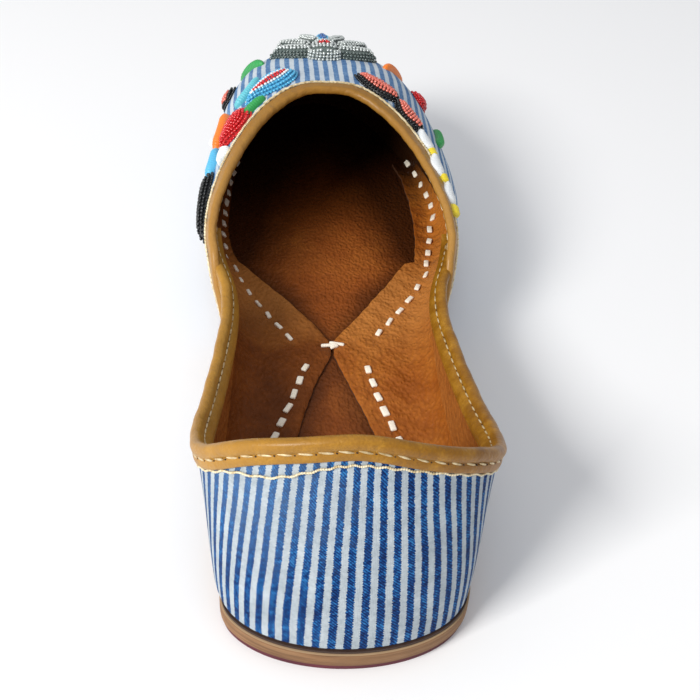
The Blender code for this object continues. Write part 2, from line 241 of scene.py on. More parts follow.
def finish_named(name, **sockets):
    """A material, with constant values set on its shader's own sockets."""
    material = bpy.data.materials.new(name)
    material.use_nodes = True
    shader = material.node_tree.nodes["Principled BSDF"]
    for key, value in sockets.items():
        shader.inputs[key.replace("_", " ")].default_value = value
    return material


def wire(material, kind, links=None, **settings):
    """A node in a material. links gives its inputs, each a value or another node's output."""
    made = material.node_tree.nodes.new(kind)
    for key, value in settings.items():
        setattr(made, key, value)
    for key, value in (links or {}).items():
        if isinstance(value, bpy.types.NodeSocket):
            material.node_tree.links.new(value, made.inputs[key])
        else:
            made.inputs[key].default_value = value
    return made


def feed(material, key, output):
    shader = material.node_tree.nodes["Principled BSDF"]
    material.node_tree.links.new(output, shader.inputs[key])


def place_of(material, stretch=(1, 1, 1)):
    """Object coordinates, stretched."""
    where = wire(material, "ShaderNodeTexCoord").outputs["Object"]
    return wire(material, "ShaderNodeMapping", {"Vector": where, "Scale": stretch}).outputs["Vector"]


def noise(material, where, scale, detail=2.0, roughness=0.5, distortion=0.0):
    """Noise from 0 to 1, with scale spots to the metre."""
    return wire(material, "ShaderNodeTexNoise",
                {"Vector": where, "Scale": scale, "Detail": detail, "Roughness": roughness,
                 "Distortion": distortion}).outputs["Fac"]


def ramp(material, factor, stops):
    """A colour ramp of (place, colour) stops."""
    made = wire(material, "ShaderNodeValToRGB", {"Fac": factor})
    points = made.color_ramp.elements
    while len(points) < len(stops):
        points.new(1.0)
    for point, (place, colour) in zip(points, stops):
        point.position = place
        point.color = (*colour, 1.0)
    return made.outputs["Color"]


def bump(material, height, strength, distance, under=None):
    """Relief of that distance in metres, over any relief under it."""
    links = {"Height": height, "Strength": strength, "Distance": distance}
    if under is not None:
        links["Normal"] = under
    return wire(material, "ShaderNodeBump", links).outputs["Normal"]


def mottled(material, spots, detail, stops):
    """Colours a material in patches, with that many spots to the metre."""
    feed(material, "Base Color", ramp(material, noise(material, place_of(material), spots, detail), stops))


def grained(material, spots, detail, strength, depth):
    """Gives a material the relief of a fine grain."""
    grain = noise(material, place_of(material), spots, detail)
    feed(material, "Normal", bump(material, grain, strength, depth))


outsole_finish = finish_named("maroon_leather", Roughness=0.7)
mottled(outsole_finish, 90.0, 4.0, [(0.3, MAROON), (0.75, WORN_MAROON)])
grained(outsole_finish, 900.0, 3.0, 0.3, 0.0004)
outsole = layer(OUTSOLE_PROUD, ground_curve, lambda y: ground_curve(y) + OUTSOLE, rounding=0.0004)
finish_piece("outsole_leather", outsole, [outsole_finish], ["outsole"])

# ---------------------------------------------------------------------------------------------------
# Midsole: layers of tan leather pressed together, with the cut edge left plain and scraped smooth.
# It runs out 0.8 mm past the upper, as a thin ledge; its upward faces are painted paler as painted light.
# ---------------------------------------------------------------------------------------------------
GAP = 0.0003                                     # between pieces that touch
RAND, EDGE_PROUD = 0.0007, 0.0008
MIDSOLE_TOP = 3 * GAP + RAND                     # how far below the wall its upper face lies
EDGE_TANS = (0.105, 0.045, 0.016), (0.26, 0.130, 0.053), (0.42, 0.240, 0.115)
# The second colour is painted light: the paler tan of the ledge's upward faces.
STAIN, LIT_LEDGE_TAN = (0.19, 0.095, 0.038), (0.39, 0.26, 0.145)


def midsole_height(y):
    return ground_curve(y) + stack(y) - MIDSOLE_TOP


def mix(material, factor, a, b):
    """Two colours, from a to b by the factor."""
    made = wire(material, "ShaderNodeMix", data_type="RGBA")
    for socket, value in ((made.inputs[0], factor), (made.inputs[6], a), (made.inputs[7], b)):
        if isinstance(value, bpy.types.NodeSocket):
            material.node_tree.links.new(value, socket)
        elif isinstance(value, tuple):
            socket.default_value = (*value, 1.0)
        else:
            socket.default_value = value
    return made.outputs[2]


def span(material, value, from_low, from_high, to_low=0.0, to_high=1.0):
    """A value taken from one range to another, and held at the ends."""
    return wire(material, "ShaderNodeMapRange",
                {"Value": value, "From Min": from_low, "From Max": from_high, "To Min": to_low,
                 "To Max": to_high}).outputs["Result"]


def part_of(material, vector, axis):
    """A vector's part along one axis."""
    return wire(material, "ShaderNodeSeparateXYZ", {"Vector": vector}).outputs[axis]


midsole_finish = finish_named("cut_edge_leather", Roughness=0.72)
where = place_of(midsole_finish, (40, 40, 1100))
streaks = noise(midsole_finish, where, 1.0, 5.0, 0.65)
blots = noise(midsole_finish, place_of(midsole_finish), 120.0, 3.0)
tan = ramp(midsole_finish, streaks, list(zip((0.32, 0.5, 0.72), EDGE_TANS)))
tan = mix(midsole_finish, span(midsole_finish, blots, 0.35, 0.7, 0.0, 0.5), tan, STAIN)
# Faces that look up are painted paler: painted light on the top of the ledge.
upright = part_of(midsole_finish, wire(midsole_finish, "ShaderNodeNewGeometry").outputs["Normal"], "Z")
ledge = span(midsole_finish, upright, 0.5, 0.9)
feed(midsole_finish, "Base Color", mix(midsole_finish, ledge, tan, LIT_LEDGE_TAN))
feed(midsole_finish, "Normal", bump(midsole_finish, streaks, 0.6, 0.0005))
midsole = layer(EDGE_PROUD, lambda y: ground_curve(y) + OUTSOLE + GAP, midsole_height, rounding=0.0005)
finish_piece("midsole_leather", midsole, [midsole_finish], ["midsole"])

# ---------------------------------------------------------------------------------------------------
# Rand: a thin strip of leather, dyed nearly black, sewn in all round between the wall and the midsole.
# Only its edge shows, as a dark line under the cotton.
# ---------------------------------------------------------------------------------------------------
RAND_PROUD = 0.0004

rand_finish = finish_named("dark_rand", Base_Color=(0.045, 0.022, 0.014, 1.0), Roughness=0.6)
grained(rand_finish, 1200.0, 2.0, 0.4, 0.0003)
bm = bmesh.new()
edges = []
for proud in (RAND_PROUD, -WALL - GAP):
    verts = [bm.verts.new(point) for point in sole_outline(proud)]
    edges += [bm.edges.new(pair) for pair in zip(verts, verts[1:] + verts[:1])]
ring = bmesh.ops.bridge_loops(bm, edges=edges)["faces"]
low = list(bm.verts)
grown = bmesh.ops.extrude_face_region(bm, geom=ring)
for verts, sunk in ((low, 2 * GAP + RAND), (verts_of(grown), 2 * GAP)):
    for vert in verts:
        vert.co.z = ground_curve(vert.co.y) + stack(vert.co.y) - sunk
finish_piece("rand_leather", bm, [rand_finish], ["rand"])

# ---------------------------------------------------------------------------------------------------
# Insole: a footbed of brown leather with a pebbled, slightly glossy grain, pasted on the midsole.
# Painted shade turns it nearly black under the toes and darkens it along the edges of the flaps over it.
# ---------------------------------------------------------------------------------------------------
INSOLE = 0.0024
GRAIN_STRETCH, GRAIN_SHIFT = (1.0, 0.72, 1.0), 0.0009
# Painted light: the bright orange of the right flap's lit wall, and the tan of the flaps' lit fronts.
PAINTED_LIT_ORANGE, PAINTED_LIGHT_TAN = (0.62, 0.215, 0.030), (0.60, 0.250, 0.060)
LIGHT_GROWS, LIGHT_FADES = 0.026, 0.022            # lengths over which the painted tan light comes and goes
FLAPS_MEET_Y, FLAPS_MEET_X = 0.107, -0.0015
OPENING_AHEAD, OPENING_BEHIND = 0.62, 0.28       # how fast the flaps part on both sides of that


def insole_top(y):
    return midsole_height(y) + GAP + INSOLE


def sums(material, kind, a, b=0.0):
    """Arithmetic on two values."""
    return wire(material, "ShaderNodeMath", {0: a, 1: b}, operation=kind).outputs[0]


def ragged(material, value, patches, reach):
    """A value moved to and fro by patches of noise."""
    return sums(material, "ADD", value, span(material, patches, 0.3, 0.7, -reach, reach))


def clear_of_flaps(material, where, patches):
    """How far inside the flaps' edges and the walls a place lies, counted double near where they meet."""
    past = sums(material, "SUBTRACT", part_of(material, where, "Y"), FLAPS_MEET_Y + HEEL_SEAM.y)
    opening = sums(material, "MAXIMUM", sums(material, "MULTIPLY", past, OPENING_AHEAD),
                   sums(material, "MULTIPLY", past, -OPENING_BEHIND))
    opening = sums(material, "MINIMUM", opening, span(material, past, 0.025, 0.110, 0.029, 0.011))
    across = sums(material, "SUBTRACT", part_of(material, where, "X"), FLAPS_MEET_X)
    clear = sums(material, "SUBTRACT", opening, sums(material, "ABSOLUTE", across))
    clear = ragged(material, clear, patches, 0.002)
    return sums(material, "MULTIPLY", clear, sums(
        material, "MINIMUM", span(material, past, -0.010, 0.0, 1.2, 1.9),
        span(material, past, 0.0, 0.050, 1.9, 1.0)))


def pebbled_leather(name, tones, grain, gloss, lit_across=None, lit_along=None, shaded_by_flaps=False, shaded_toward_toe=None):
    """Brown leather in three tones, with a wrinkled grain of that size. The options paint light and shade on
    it,
    in order: from where to where across, a painted highlight of bright orange; from where to where along,
    painted light of tan; painted shade along the flaps' edges; and from where to where, towards the toe,
    painted shade that turns it black."""
    dark, mid, light = tones
    material = finish_named(name, Specular_IOR_Level=0.17)
    where = place_of(material)
    wander = noise(material, where, 220.0, 3.0)
    shift = wire(material, "ShaderNodeTexNoise", {"Vector": where, "Scale": 500.0}).outputs["Color"]
    shift = wire(material, "ShaderNodeVectorMath", {0: shift, "Scale": GRAIN_SHIFT}, operation="SCALE")
    stretched = place_of(material, GRAIN_STRETCH)
    moved = wire(material, "ShaderNodeVectorMath", {0: stretched, 1: shift.outputs[0]},
                 operation="ADD").outputs[0]
    cells = wire(material, "ShaderNodeTexVoronoi", {"Vector": moved, "Scale": 1.0 / grain},
                 feature="SMOOTH_F1").outputs["Distance"]
    fine = noise(material, where, 2600.0, 3.0, 0.6)
    patches = noise(material, where, 38.0, 4.0, 0.6)
    shade = ramp(material, patches, [(0.30, dark), (0.50, mid), (0.70, light)])
    shade = mix(material, span(material, cells, 0.25, 0.65, 0.0, 0.45), shade, dark)
    shade = mix(material, span(material, wander, 0.4, 0.7, 0.0, 0.3), shade, mid)
    along = ragged(material, part_of(material, where, "Y"), patches, 0.006)
    # Painted highlight: bright orange where the flap climbs the lit wall.
    if lit_across:
        aside = ragged(material, part_of(material, where, "X"), patches, 0.002)
        shade = mix(material, span(material, aside, *lit_across, 0.0, 0.6), shade, PAINTED_LIT_ORANGE)
    # Painted light: the flap turns tan towards its front, where the light falls.
    if lit_along:
        start, end = (y + HEEL_SEAM.y for y in lit_along)
        painted_light = sums(material, "MINIMUM", span(material, along, start, start + LIGHT_GROWS, 0.0, 0.5),
                      span(material, along, end - LIGHT_FADES, end, 0.5, 0.0))
        shade = mix(material, painted_light, shade, PAINTED_LIGHT_TAN)
    # Painted shade: darker along the flaps' edges and beside the walls.
    if shaded_by_flaps:
        flap_shade = span(material, clear_of_flaps(material, where, patches), -0.003, 0.013, 0.92, 0.0)
        shade = mix(material, flap_shade, shade, tuple(0.22 * part for part in dark))
    # Painted shade: towards the toe, under the vamp, it turns nearly black.
    if shaded_toward_toe:
        start, end = (y + HEEL_SEAM.y for y in shaded_toward_toe)
        shade = mix(material, span(material, along, start, end), shade, tuple(0.12 * part for part in dark))
    feed(material, "Base Color", shade)
    feed(material, "Roughness", span(material, sums(material, "ADD", cells, fine), 0.5, 1.3, gloss,
                                     gloss + 0.22))
    rough = bump(material, fine, 0.35, 0.0002)
    feed(material, "Normal", bump(material, span(material, cells, 0.1, 0.7, 1.0, 0.0), 0.8, 0.0004, rough))
    return material


# The insole is darkened by painted shade along the flaps' edges and towards the toe, under the vamp.
insole_finish = pebbled_leather(
    "insole_leather", [(0.175, 0.044, 0.007), (0.280, 0.073, 0.012), (0.370, 0.112, 0.018)], 0.0009, 0.42,
    shaded_by_flaps=True, shaded_toward_toe=(0.178, 0.232))
insole = layer(-WALL - GAP, lambda y: midsole_height(y) + GAP, insole_top, rounding=0.0004)
finish_piece("insole_footbed", insole, [insole_finish], ["insole"])

# ---------------------------------------------------------------------------------------------------
# Quarter: the heel piece, of striped cotton outside and brown leather inside, pasted to one wall and
# seamed at the heel. A painted sheen turns the blue pale beside the heel's left side.
# ---------------------------------------------------------------------------------------------------
QUARTER_FRONT_Y, QUARTER_DROP_Y, QUARTER_DROP = 0.150, 0.108, 0.30
COTTON = 0.0006                                  # thickness of the cotton, the rest of the wall is lining
LINING_GAP = 0.0001
STRIPE = 0.00325                                 # one blue and one white stripe
TOOTH, TWILL = 0.00070, 0.00088                  # periods of the stripes' teeth and of the slant weave
THREAD = 0.00036                                 # and of the yarn
# The pale blue of a painted sheen on the quarter's left side.
SHEEN_BLUE = (0.12, 0.23, 0.42)
QUARTER_BLUES = (0.0005, 0.010, 0.058), (0.0008, 0.038, 0.176), (0.030, 0.200, 0.470)
QUARTER_WHITES = (0.31, 0.36, 0.40), (0.49, 0.54, 0.57)
LINING_BROWNS = (0.22, 0.066, 0.011), (0.36, 0.118, 0.020), (0.46, 0.165, 0.032)

Crease = namedtuple("Crease", "y x z length width depth lean")
CREASES = [  # soft troughs, and ridges where the depth is below 0; lean in degrees off upright
    Crease(0.001, -0.014, 0.040, 0.020, 0.0030, 0.00035, 4),
    Crease(0.004, 0.016, 0.030, 0.016, 0.0040, 0.00025, -8),
    Crease(0.030, -0.034, 0.026, 0.014, 0.0035, 0.00050, 12),
    Crease(0.042, 0.034, 0.028, 0.014, 0.0040, 0.00045, -14),
    Crease(0.070, -0.031, 0.020, 0.012, 0.0045, 0.00060, -20),
    Crease(0.078, 0.030, 0.019, 0.012, 0.0050, 0.00060, 18),
    Crease(0.092, -0.031, 0.020, 0.010, 0.0035, -0.00030, 8),
    Crease(0.150, 0.040, 0.024, 0.016, 0.0050, 0.00060, 30),
    Crease(0.146, -0.039, 0.022, 0.016, 0.0050, 0.00055, -28),
    Crease(0.196, 0.000, 0.052, 0.016, 0.0055, 0.00045, 86),
    Crease(0.214, 0.010, 0.049, 0.014, 0.0050, 0.00035, 80),
]


@lru_cache(maxsize=None)
def section_corners(turn):
    """The four corners of a section's curve, from the sole line to the rim."""
    _, rim_x, rim_y, rim_z, foot_lean, rim_lean, fullness = section(turn)
    foot = foot_point(turn)
    rim = Vector((rim_x, rim_y, rim_z))
    out = outward(turn)
    reach = fullness * (rim - foot).length
    low_lean, high_lean = math.radians(foot_lean), math.radians(rim_lean)
    low = foot + reach * (out * math.sin(low_lean) + Vector((0, 0, math.cos(low_lean))))
    high = rim - reach * (out * math.sin(high_lean) + Vector((0, 0, math.cos(high_lean))))
    return foot, low, high, rim


def last_point(turn, rise):
    """The outer face of the wall, with rise 0 at the sole and 1 at the rim."""
    foot, low, high, rim = section_corners(turn)
    fall = 1.0 - rise
    return bend_last(fall ** 3 * foot + 3 * fall ** 2 * rise * low + 3 * fall * rise ** 2 * high
                     + rise ** 3 * rim)


def wall_frame(turn, rise):
    """A point of the wall's outer face, and the way out of it."""
    across = last_point(turn + STEP, rise) - last_point(turn - STEP, rise)
    up = last_point(turn, rise + STEP) - last_point(turn, rise - STEP)
    return last_point(turn, rise), across.cross(up).normalized()


def wall_point(turn, rise, offset):
    point, out = wall_frame(turn, rise)
    return point + offset * out


def bell(a, b=0.0):
    """1 in the middle, and soon nothing round it."""
    return math.exp(-a ** 2 - b ** 2)


def creased(point, out):
    """How far the creases push the wall at a point."""
    push = 0.0
    for fold in CREASES:
        away = point - Vector((fold.x, fold.y, fold.z))
        if away.length < 2.5 * fold.length:
            side = Vector((0, 0, 1)).cross(out)
            if side.length < 0.2:
                side = Vector((1, 0, 0))
            side = Matrix.Rotation(math.radians(fold.lean), 3, out) @ side.normalized()
            cross = away.dot(side)
            run = away.dot(out.cross(side))
            push -= fold.depth * bell(cross / fold.width, run / fold.length)
    return push


@lru_cache(maxsize=None)
def wall_height(turn):
    """The length of a section's curve."""
    points = [last_point(turn, i / 12.0) for i in range(13)]
    return sum((b - a).length for a, b in zip(points, points[1:]))


def quarter_top(turn):
    """Share of the section that the quarter covers."""
    return 1.0 - QUARTER_DROP * ease((foot_y(turn) - QUARTER_DROP_Y) / (QUARTER_FRONT_Y - QUARTER_DROP_Y))


def sheet(columns, rows, place, cloth=None, edge_material=0):
    """A closed sheet of columns by rows cells. place(u, v, side) sets its points, with side 1 on its outer
    face; cloth(u, v) sets its UV map."""
    bm = bmesh.new()
    bmesh.ops.create_grid(bm, x_segments=columns, y_segments=rows, size=1.0)
    inner = list(bm.verts)
    outer = verts_of(bmesh.ops.extrude_face_region(bm, geom=list(bm.faces)))
    where = {vert: ((vert.co.x + 1.0) / 2.0, (vert.co.y + 1.0) / 2.0) for vert in bm.verts}
    for side, verts in ((0, inner), (1, outer)):
        for vert in verts:
            vert.co = place(*where[vert], side)
    under = set(inner)
    for face in bm.faces:
        if 0 < sum(vert in under for vert in face.verts) < 4:
            face.material_index = edge_material
    if cloth:
        layer_uv = bm.loops.layers.uv.new("cloth")
        spots = {vert: cloth(*where[vert]) for vert in bm.verts}
        for face in bm.faces:
            for loop in face.loops:
                loop[layer_uv].uv = spots[loop.vert]
    return bm


def striped_cotton(name, blues, whites, teeth, sheen_middle=None):
    """Blue and white woven stripes, with the threads' teeth at their edges and a twill fleck in the blue.
    The last argument is the place on the cloth round which a painted sheen turns the blue pale."""
    material = finish_named(name, Roughness=0.85, Specular_IOR_Level=0.12, Sheen_Weight=0.05,
                            Sheen_Roughness=0.5)
    cloth = wire(material, "ShaderNodeUVMap", uv_map="cloth").outputs["UV"]
    across, along = part_of(material, cloth, "X"), part_of(material, cloth, "Y")
    drift = noise(material, cloth, 60.0, 2.0)
    across = sums(material, "ADD", across, span(material, drift, 0.0, 1.0, -0.0004, 0.0004))
    weft = ragged(material, along, noise(material, cloth, 450.0, 2.0), 0.0006)
    tooth = sums(material, "PINGPONG", sums(material, "DIVIDE", weft, TOOTH), 0.5)
    fray = noise(material, cloth, 1400.0, 2.0)
    edge = ragged(material, span(material, tooth, 0.0, 0.5, -teeth, teeth), fray, 0.03)
    phase = sums(material, "PINGPONG", sums(material, "DIVIDE", across, STRIPE), 0.5)
    blue = span(material, sums(material, "ADD", phase, edge), 0.245, 0.275)
    slant = sums(material, "DIVIDE", sums(material, "ADD", across, along), TWILL)
    twill = sums(material, "PINGPONG", slant, 0.5)
    fleck = noise(material, cloth, 800.0, 3.0, 0.8)
    wear = noise(material, cloth, 130.0, 3.0)
    speckle = sums(material, "ADD", span(material, twill, 0.05, 0.45, 0.0, 0.36),
                   sums(material, "ADD", span(material, fleck, 0.35, 0.65, 0.0, 0.54),
                        span(material, wear, 0.35, 0.65, -0.12, 0.12)))
    deep = ramp(material, span(material, speckle, 0.15, 0.85), list(zip((0.0, 0.5, 1.0), blues)))
    # Painted sheen: the blue turns pale round that place.
    if sheen_middle:
        far = wire(material, "ShaderNodeVectorMath", {0: cloth, 1: (*sheen_middle, 0.0)},
                   operation="DISTANCE").outputs["Value"]
        far = ragged(material, far, wear, 0.008)
        deep = mix(material, span(material, far, 0.004, 0.034, 0.45, 0.0), deep, SHEEN_BLUE)
    pale = ramp(material, span(material, sums(material, "ADD", fleck, wear), 0.7, 1.25),
                list(zip((0.0, 1.0), whites)))
    feed(material, "Base Color", mix(material, blue, deep, pale))
    threads = sums(material, "PINGPONG", sums(material, "DIVIDE", across, THREAD), 0.5)
    threads = sums(material, "ADD", threads, tooth)
    rough = bump(material, threads, 0.5, 0.00012)
    feed(material, "Normal", bump(material, noise(material, cloth, 700.0, 2.0), 0.2, 0.0003, rough))
    return material


def cotton_face(turn, rise, offset):
    """A point of the wall with the cotton's creases."""
    point, out = wall_frame(turn, rise)
    return point + (offset + creased(point, out)) * out


def blend(a, b, share):
    return a + (b - a) * share


def steps(first, last, count):
    return [blend(first, last, i / count) for i in range(count + 1)]


def round_heel(y, count):
    """Turns from that far up the left side, round the heel, to the same place on the right."""
    return steps(-turn_at(y), turn_at(y), count)


QUARTER_COLUMNS, QUARTER_ROWS = 320, 34
quarter_turns = round_heel(QUARTER_FRONT_Y, QUARTER_COLUMNS)
girth = [0.0]
for a, b in zip(quarter_turns, quarter_turns[1:]):
    girth.append(girth[-1] + (last_point(b, 0.5) - last_point(a, 0.5)).length)


def quarter_spot(u, v):
    """The turn and rise of a place on the quarter, from its left front edge and its foot."""
    turn = quarter_turns[round(u * QUARTER_COLUMNS)]
    return turn, v * quarter_top(turn)


def quarter_cloth(u, v):
    """The cloth is wrapped round the wall from the heel seam."""
    turn, rise = quarter_spot(u, v)
    return girth[round(u * QUARTER_COLUMNS)] - girth[QUARTER_COLUMNS // 2], rise * wall_height(turn)


# A painted sheen pales the blue beside the heel's left side.
cotton_finish = striped_cotton("striped_cotton", QUARTER_BLUES, QUARTER_WHITES, 0.040, (-0.027, 0.048))
quarter_cotton = sheet(QUARTER_COLUMNS, QUARTER_ROWS, lambda u, v, side: cotton_face(
    *quarter_spot(u, v), 0.0 if side else -COTTON), quarter_cloth)
finish_piece("quarter_cotton", quarter_cotton, [cotton_finish], ["upper"])
quarter_lining = sheet(160, 20, lambda u, v, side: wall_point(
    *quarter_spot(u, v), -COTTON - LINING_GAP if side else -WALL))
lining_finish = pebbled_leather("lining_leather", LINING_BROWNS, 0.0011, 0.48)
finish_piece("quarter_lining", quarter_lining, [lining_finish])

# ---------------------------------------------------------------------------------------------------
# Vamp: the front piece, of the same striped cotton and brown lining, cut in one with the two wings that
# run back. They are pasted outside the quarter's front ends.
# ---------------------------------------------------------------------------------------------------
WING_FOOT_Y, WING_TOP_Y, WING_TOE = 0.098, 0.126, 0.04
VAMP_COLUMNS, VAMP_ROWS = 280, 60
VAMP_BLUES = (0.045, 0.130, 0.290), (0.095, 0.205, 0.400), (0.200, 0.340, 0.530)
VAMP_WHITES = (0.44, 0.51, 0.58), (0.60, 0.66, 0.70)
FLATTENING = 1.5                                 # the rule by which across and down add up on the cloth


def round_toe(y, count):
    """Turns from that far up the right side, round the toe, to the same place on the left."""
    return steps(turn_at(y), 2.0 * math.pi - turn_at(y), count)


vamp_turns = round_toe(WING_FOOT_Y, VAMP_COLUMNS)


def vamp_top(turn):
    """Share of the section that the vamp covers."""
    climb = ease((foot_y(turn) - WING_FOOT_Y) / (WING_TOP_Y - WING_FOOT_Y))
    return WING_TOE + (1.0 - WING_TOE) * climb


def vamp_spot(u, v):
    """The turn and rise of a place on the vamp, from its right wing and its foot."""
    turn = vamp_turns[round(u * VAMP_COLUMNS)]
    return turn, v * vamp_top(turn)


RIDGE = [last_point(math.pi, 1.0 - i / 100.0) for i in range(101)]     # the vamp's middle line
RIDGE_Y, RIDGE_Z = np.array([point.y for point in RIDGE]), np.array([point.z for point in RIDGE])


def cloth_at(turn, rise):
    """How far across and along the cloth a place is, if it lies flat over the vamp's middle line."""
    point = last_point(turn, rise)
    across = point.x + TOE_SWING * max(0.0, (point.y - SWING_START) / (LENGTH - SWING_START)) ** 2
    ridge = float(np.interp(point.y, RIDGE_Y, RIDGE_Z))
    drop = max(0.0, ridge - point.z)
    far = (abs(across) ** FLATTENING + drop ** FLATTENING) ** (1.0 / FLATTENING)
    return math.copysign(far, across), point.y


vamp_cotton = sheet(VAMP_COLUMNS, VAMP_ROWS, lambda u, v, side: cotton_face(
    *vamp_spot(u, v), VAMP_FACE if side else VAMP_FACE - COTTON), lambda u, v: cloth_at(*vamp_spot(u, v)))
pale_cotton_finish = striped_cotton("pale_striped_cotton", VAMP_BLUES, VAMP_WHITES, 0.025)
finish_piece("vamp_cotton", vamp_cotton, [pale_cotton_finish], ["upper"])
vamp_lining = sheet(140, 30, lambda u, v, side: wall_point(
    *vamp_spot(u, v), VAMP_FACE - COTTON - LINING_GAP if side else -VAMP_LAP))
# Painted shade turns the vamp's lining nearly black towards the toe.
dark_lining_finish = pebbled_leather("vamp_lining_leather", LINING_BROWNS, 0.0011, 0.48,
                                     shaded_toward_toe=(0.148, 0.178))
finish_piece("vamp_lining", vamp_lining, [dark_lining_finish])

# ---------------------------------------------------------------------------------------------------
# Lining flaps: the lining turned in over the insole from both walls, pasted down and meeting at the
# waist. The right one steps back beside the ball of the foot.
# ---------------------------------------------------------------------------------------------------
FLAP = 0.0011                                    # thickness of the turned-in leather
CLIMB, SPREAD = 0.009, 0.0075                    # its curve out of the wall and over the footbed
CURVED_PART = 0.35                               # the share of its rows in that curve
FLAP_HEEL, FLAP_TOE = 0.012, 0.214               # where the flaps begin and end, from the heel
FLAP_OPENS = 0.014                               # how soon a flap reaches its full width from there
LAP_FROM_Y, LAP_LENGTH = 0.147, 0.005            # the wall inside passes from the quarter's to the vamp's
EDGES = {  # along and across, in millimetres, by side
    -1: [(12, -22), (30, -19.6), (48, -15), (65, -11.3), (79, -7.9), (90, -4.5), (100, -0.3), (107, -0.3),
         (115, -4), (122, -8), (130, -13.5), (137, -19), (144, -24), (150, -28.5), (156, -30.6), (168, -32),
         (182, -32), (200, -32), (216, -28)],
    1: [(12, 22), (30, 19.6), (48, 15), (65, 11.3), (76, 8), (87, 4.4), (100, 0.6), (107, 0.6), (113, 4),
        (119, 8), (128, 13.4), (136, 18.6), (145, 23.8), (150, 27), (150.6, 30.4), (162, 32), (175, 33),
        (190, 33), (205, 32), (216, 29)],
}

# Running stitches of thick cotton: their spacing, size, and line along and across, in millimetres.
Seam = namedtuple("Seam", "side spacing size line")
SEAMS = [
    Seam(-1, 6.6, (3.1, 1.2), [(109, -13), (120, -19), (132, -25.4), (145, -31), (152, -33.8), (164, -36),
                               (178, -37), (196, -37), (210, -35)]),
    Seam(-1, 5.9, (3.4, 1.9), [(66, -17.2), (79, -12.9), (96, -7.8)]),
    Seam(1, 7.0, (3.3, 1.5), [(112, 14.6), (128, 24.8), (140, 31), (153, 34.2), (166, 36.4), (182, 38),
                              (200, 38), (214, 36)]),
    Seam(1, 5.9, (3.4, 1.9), [(65, 17.2), (80, 12.6), (96, 9.6)]),
]
WALL_STITCH = (3.0, 2.0)                         # size of those that climb onto the wall, from WALL_Y on
WALL_Y = 0.151
Dip = namedtuple("Dip", "depth run width")
STITCH_DIP = Dip(0.00035, 0.0022, 0.0016)        # how a stitch pulls the leather down
CREASE_DIP = Dip(0.00050, 0.0009, 0.0045)        # and the crease ahead of it, on the wall
CREASE_AHEAD, CREASES_FROM_Y = 0.0034, 0.148


def along_edge(edge, y):
    """Where an edge of (y, x) points in millimetres lies at y, in metres."""
    return float(np.interp(y, [point[0] / 1000 for point in edge], [point[1] / 1000 for point in edge]))


@lru_cache(maxsize=None)
def wall_foot(side, y):
    """Where the wall's inner face meets the footbed, with the turn and the rise there."""
    turn = side * turn_at(y)
    inner = blend(-WALL, -VAMP_LAP, ease((y - LAP_FROM_Y) / LAP_LENGTH))
    rise = 0.04
    for _ in range(6):
        rise += (insole_top(y) - wall_point(turn, rise, inner).z) / wall_height(turn)
    return turn, rise, inner


def flap_point(side, y, v):
    """The flap's upper face: down the wall, round the curve, and over the footbed to its edge."""
    turn, rise, inner = wall_foot(side, y)
    foot = wall_point(turn, rise, inner)
    start = wall_point(turn, rise + CLIMB / wall_height(turn), inner + 0.0003)
    reach = abs(foot.x - bend_last(Vector((along_edge(EDGES[side], y), y, 0))).x)
    reach *= ease((y - FLAP_HEEL) / FLAP_OPENS)
    spread = min(SPREAD, 0.6 * reach)
    land = Vector((foot.x - side * spread, y, insole_top(y) + FLAP))
    if v < CURVED_PART:
        b = v / CURVED_PART
        a = 1.0 - b
        down = start.lerp(foot, 0.6)
        over = land + Vector((side * 0.5 * spread, 0, 0))
        return a ** 3 * start + 3 * a * a * b * down + 3 * a * b * b * over + b ** 3 * land
    share = (v - CURVED_PART) / (1.0 - CURVED_PART)
    return Vector((blend(land.x, foot.x - side * reach, share), y, land.z))


def seam_places(seam):
    """The middles of a seam's stitches on the flap, with the way each one points."""
    spots = []
    length = 0.0
    line = [Vector((x / 1000, y / 1000, 0)) for y, x in seam.line]
    for a, b in zip(line, line[1:]):
        run = (b - a).length
        while length < run:
            spot = a.lerp(b, length / run)
            low, high = 0.0, 1.0
            for _ in range(14):
                mid = (low + high) / 2.0
                if seam.side * flap_point(seam.side, spot.y, mid).x > seam.side * spot.x:
                    low = mid
                else:
                    high = mid
            spots.append((spot.y, max(low, 0.55 * CURVED_PART), (b - a).normalized()))
            length += seam.spacing / 1000
        length -= run
    return spots


SEAM_PLACES = {-1: [], 1: []}
for seam in SEAMS:
    for y, v, heading in seam_places(seam):
        size = seam.size if y < WALL_Y else WALL_STITCH
        SEAM_PLACES[seam.side].append((flap_point(seam.side, y, v), heading, size))


def pulled(side, point):
    """How the stitches and the creases between them draw the leather down at a point."""
    pull, crease = STITCH_DIP, CREASE_DIP
    depth = 0.0
    for spot, heading, _ in SEAM_PLACES[side]:
        away = point - spot
        if abs(away.y) > 0.008 or abs(away.x) > 0.010:
            continue
        along = away.dot(heading)
        aside = (away - along * heading).length
        depth += pull.depth * bell(along / pull.run, aside / pull.width)
        if spot.y > CREASES_FROM_Y:
            depth += crease.depth * bell((along - CREASE_AHEAD) / crease.run, aside / crease.width)
    return depth


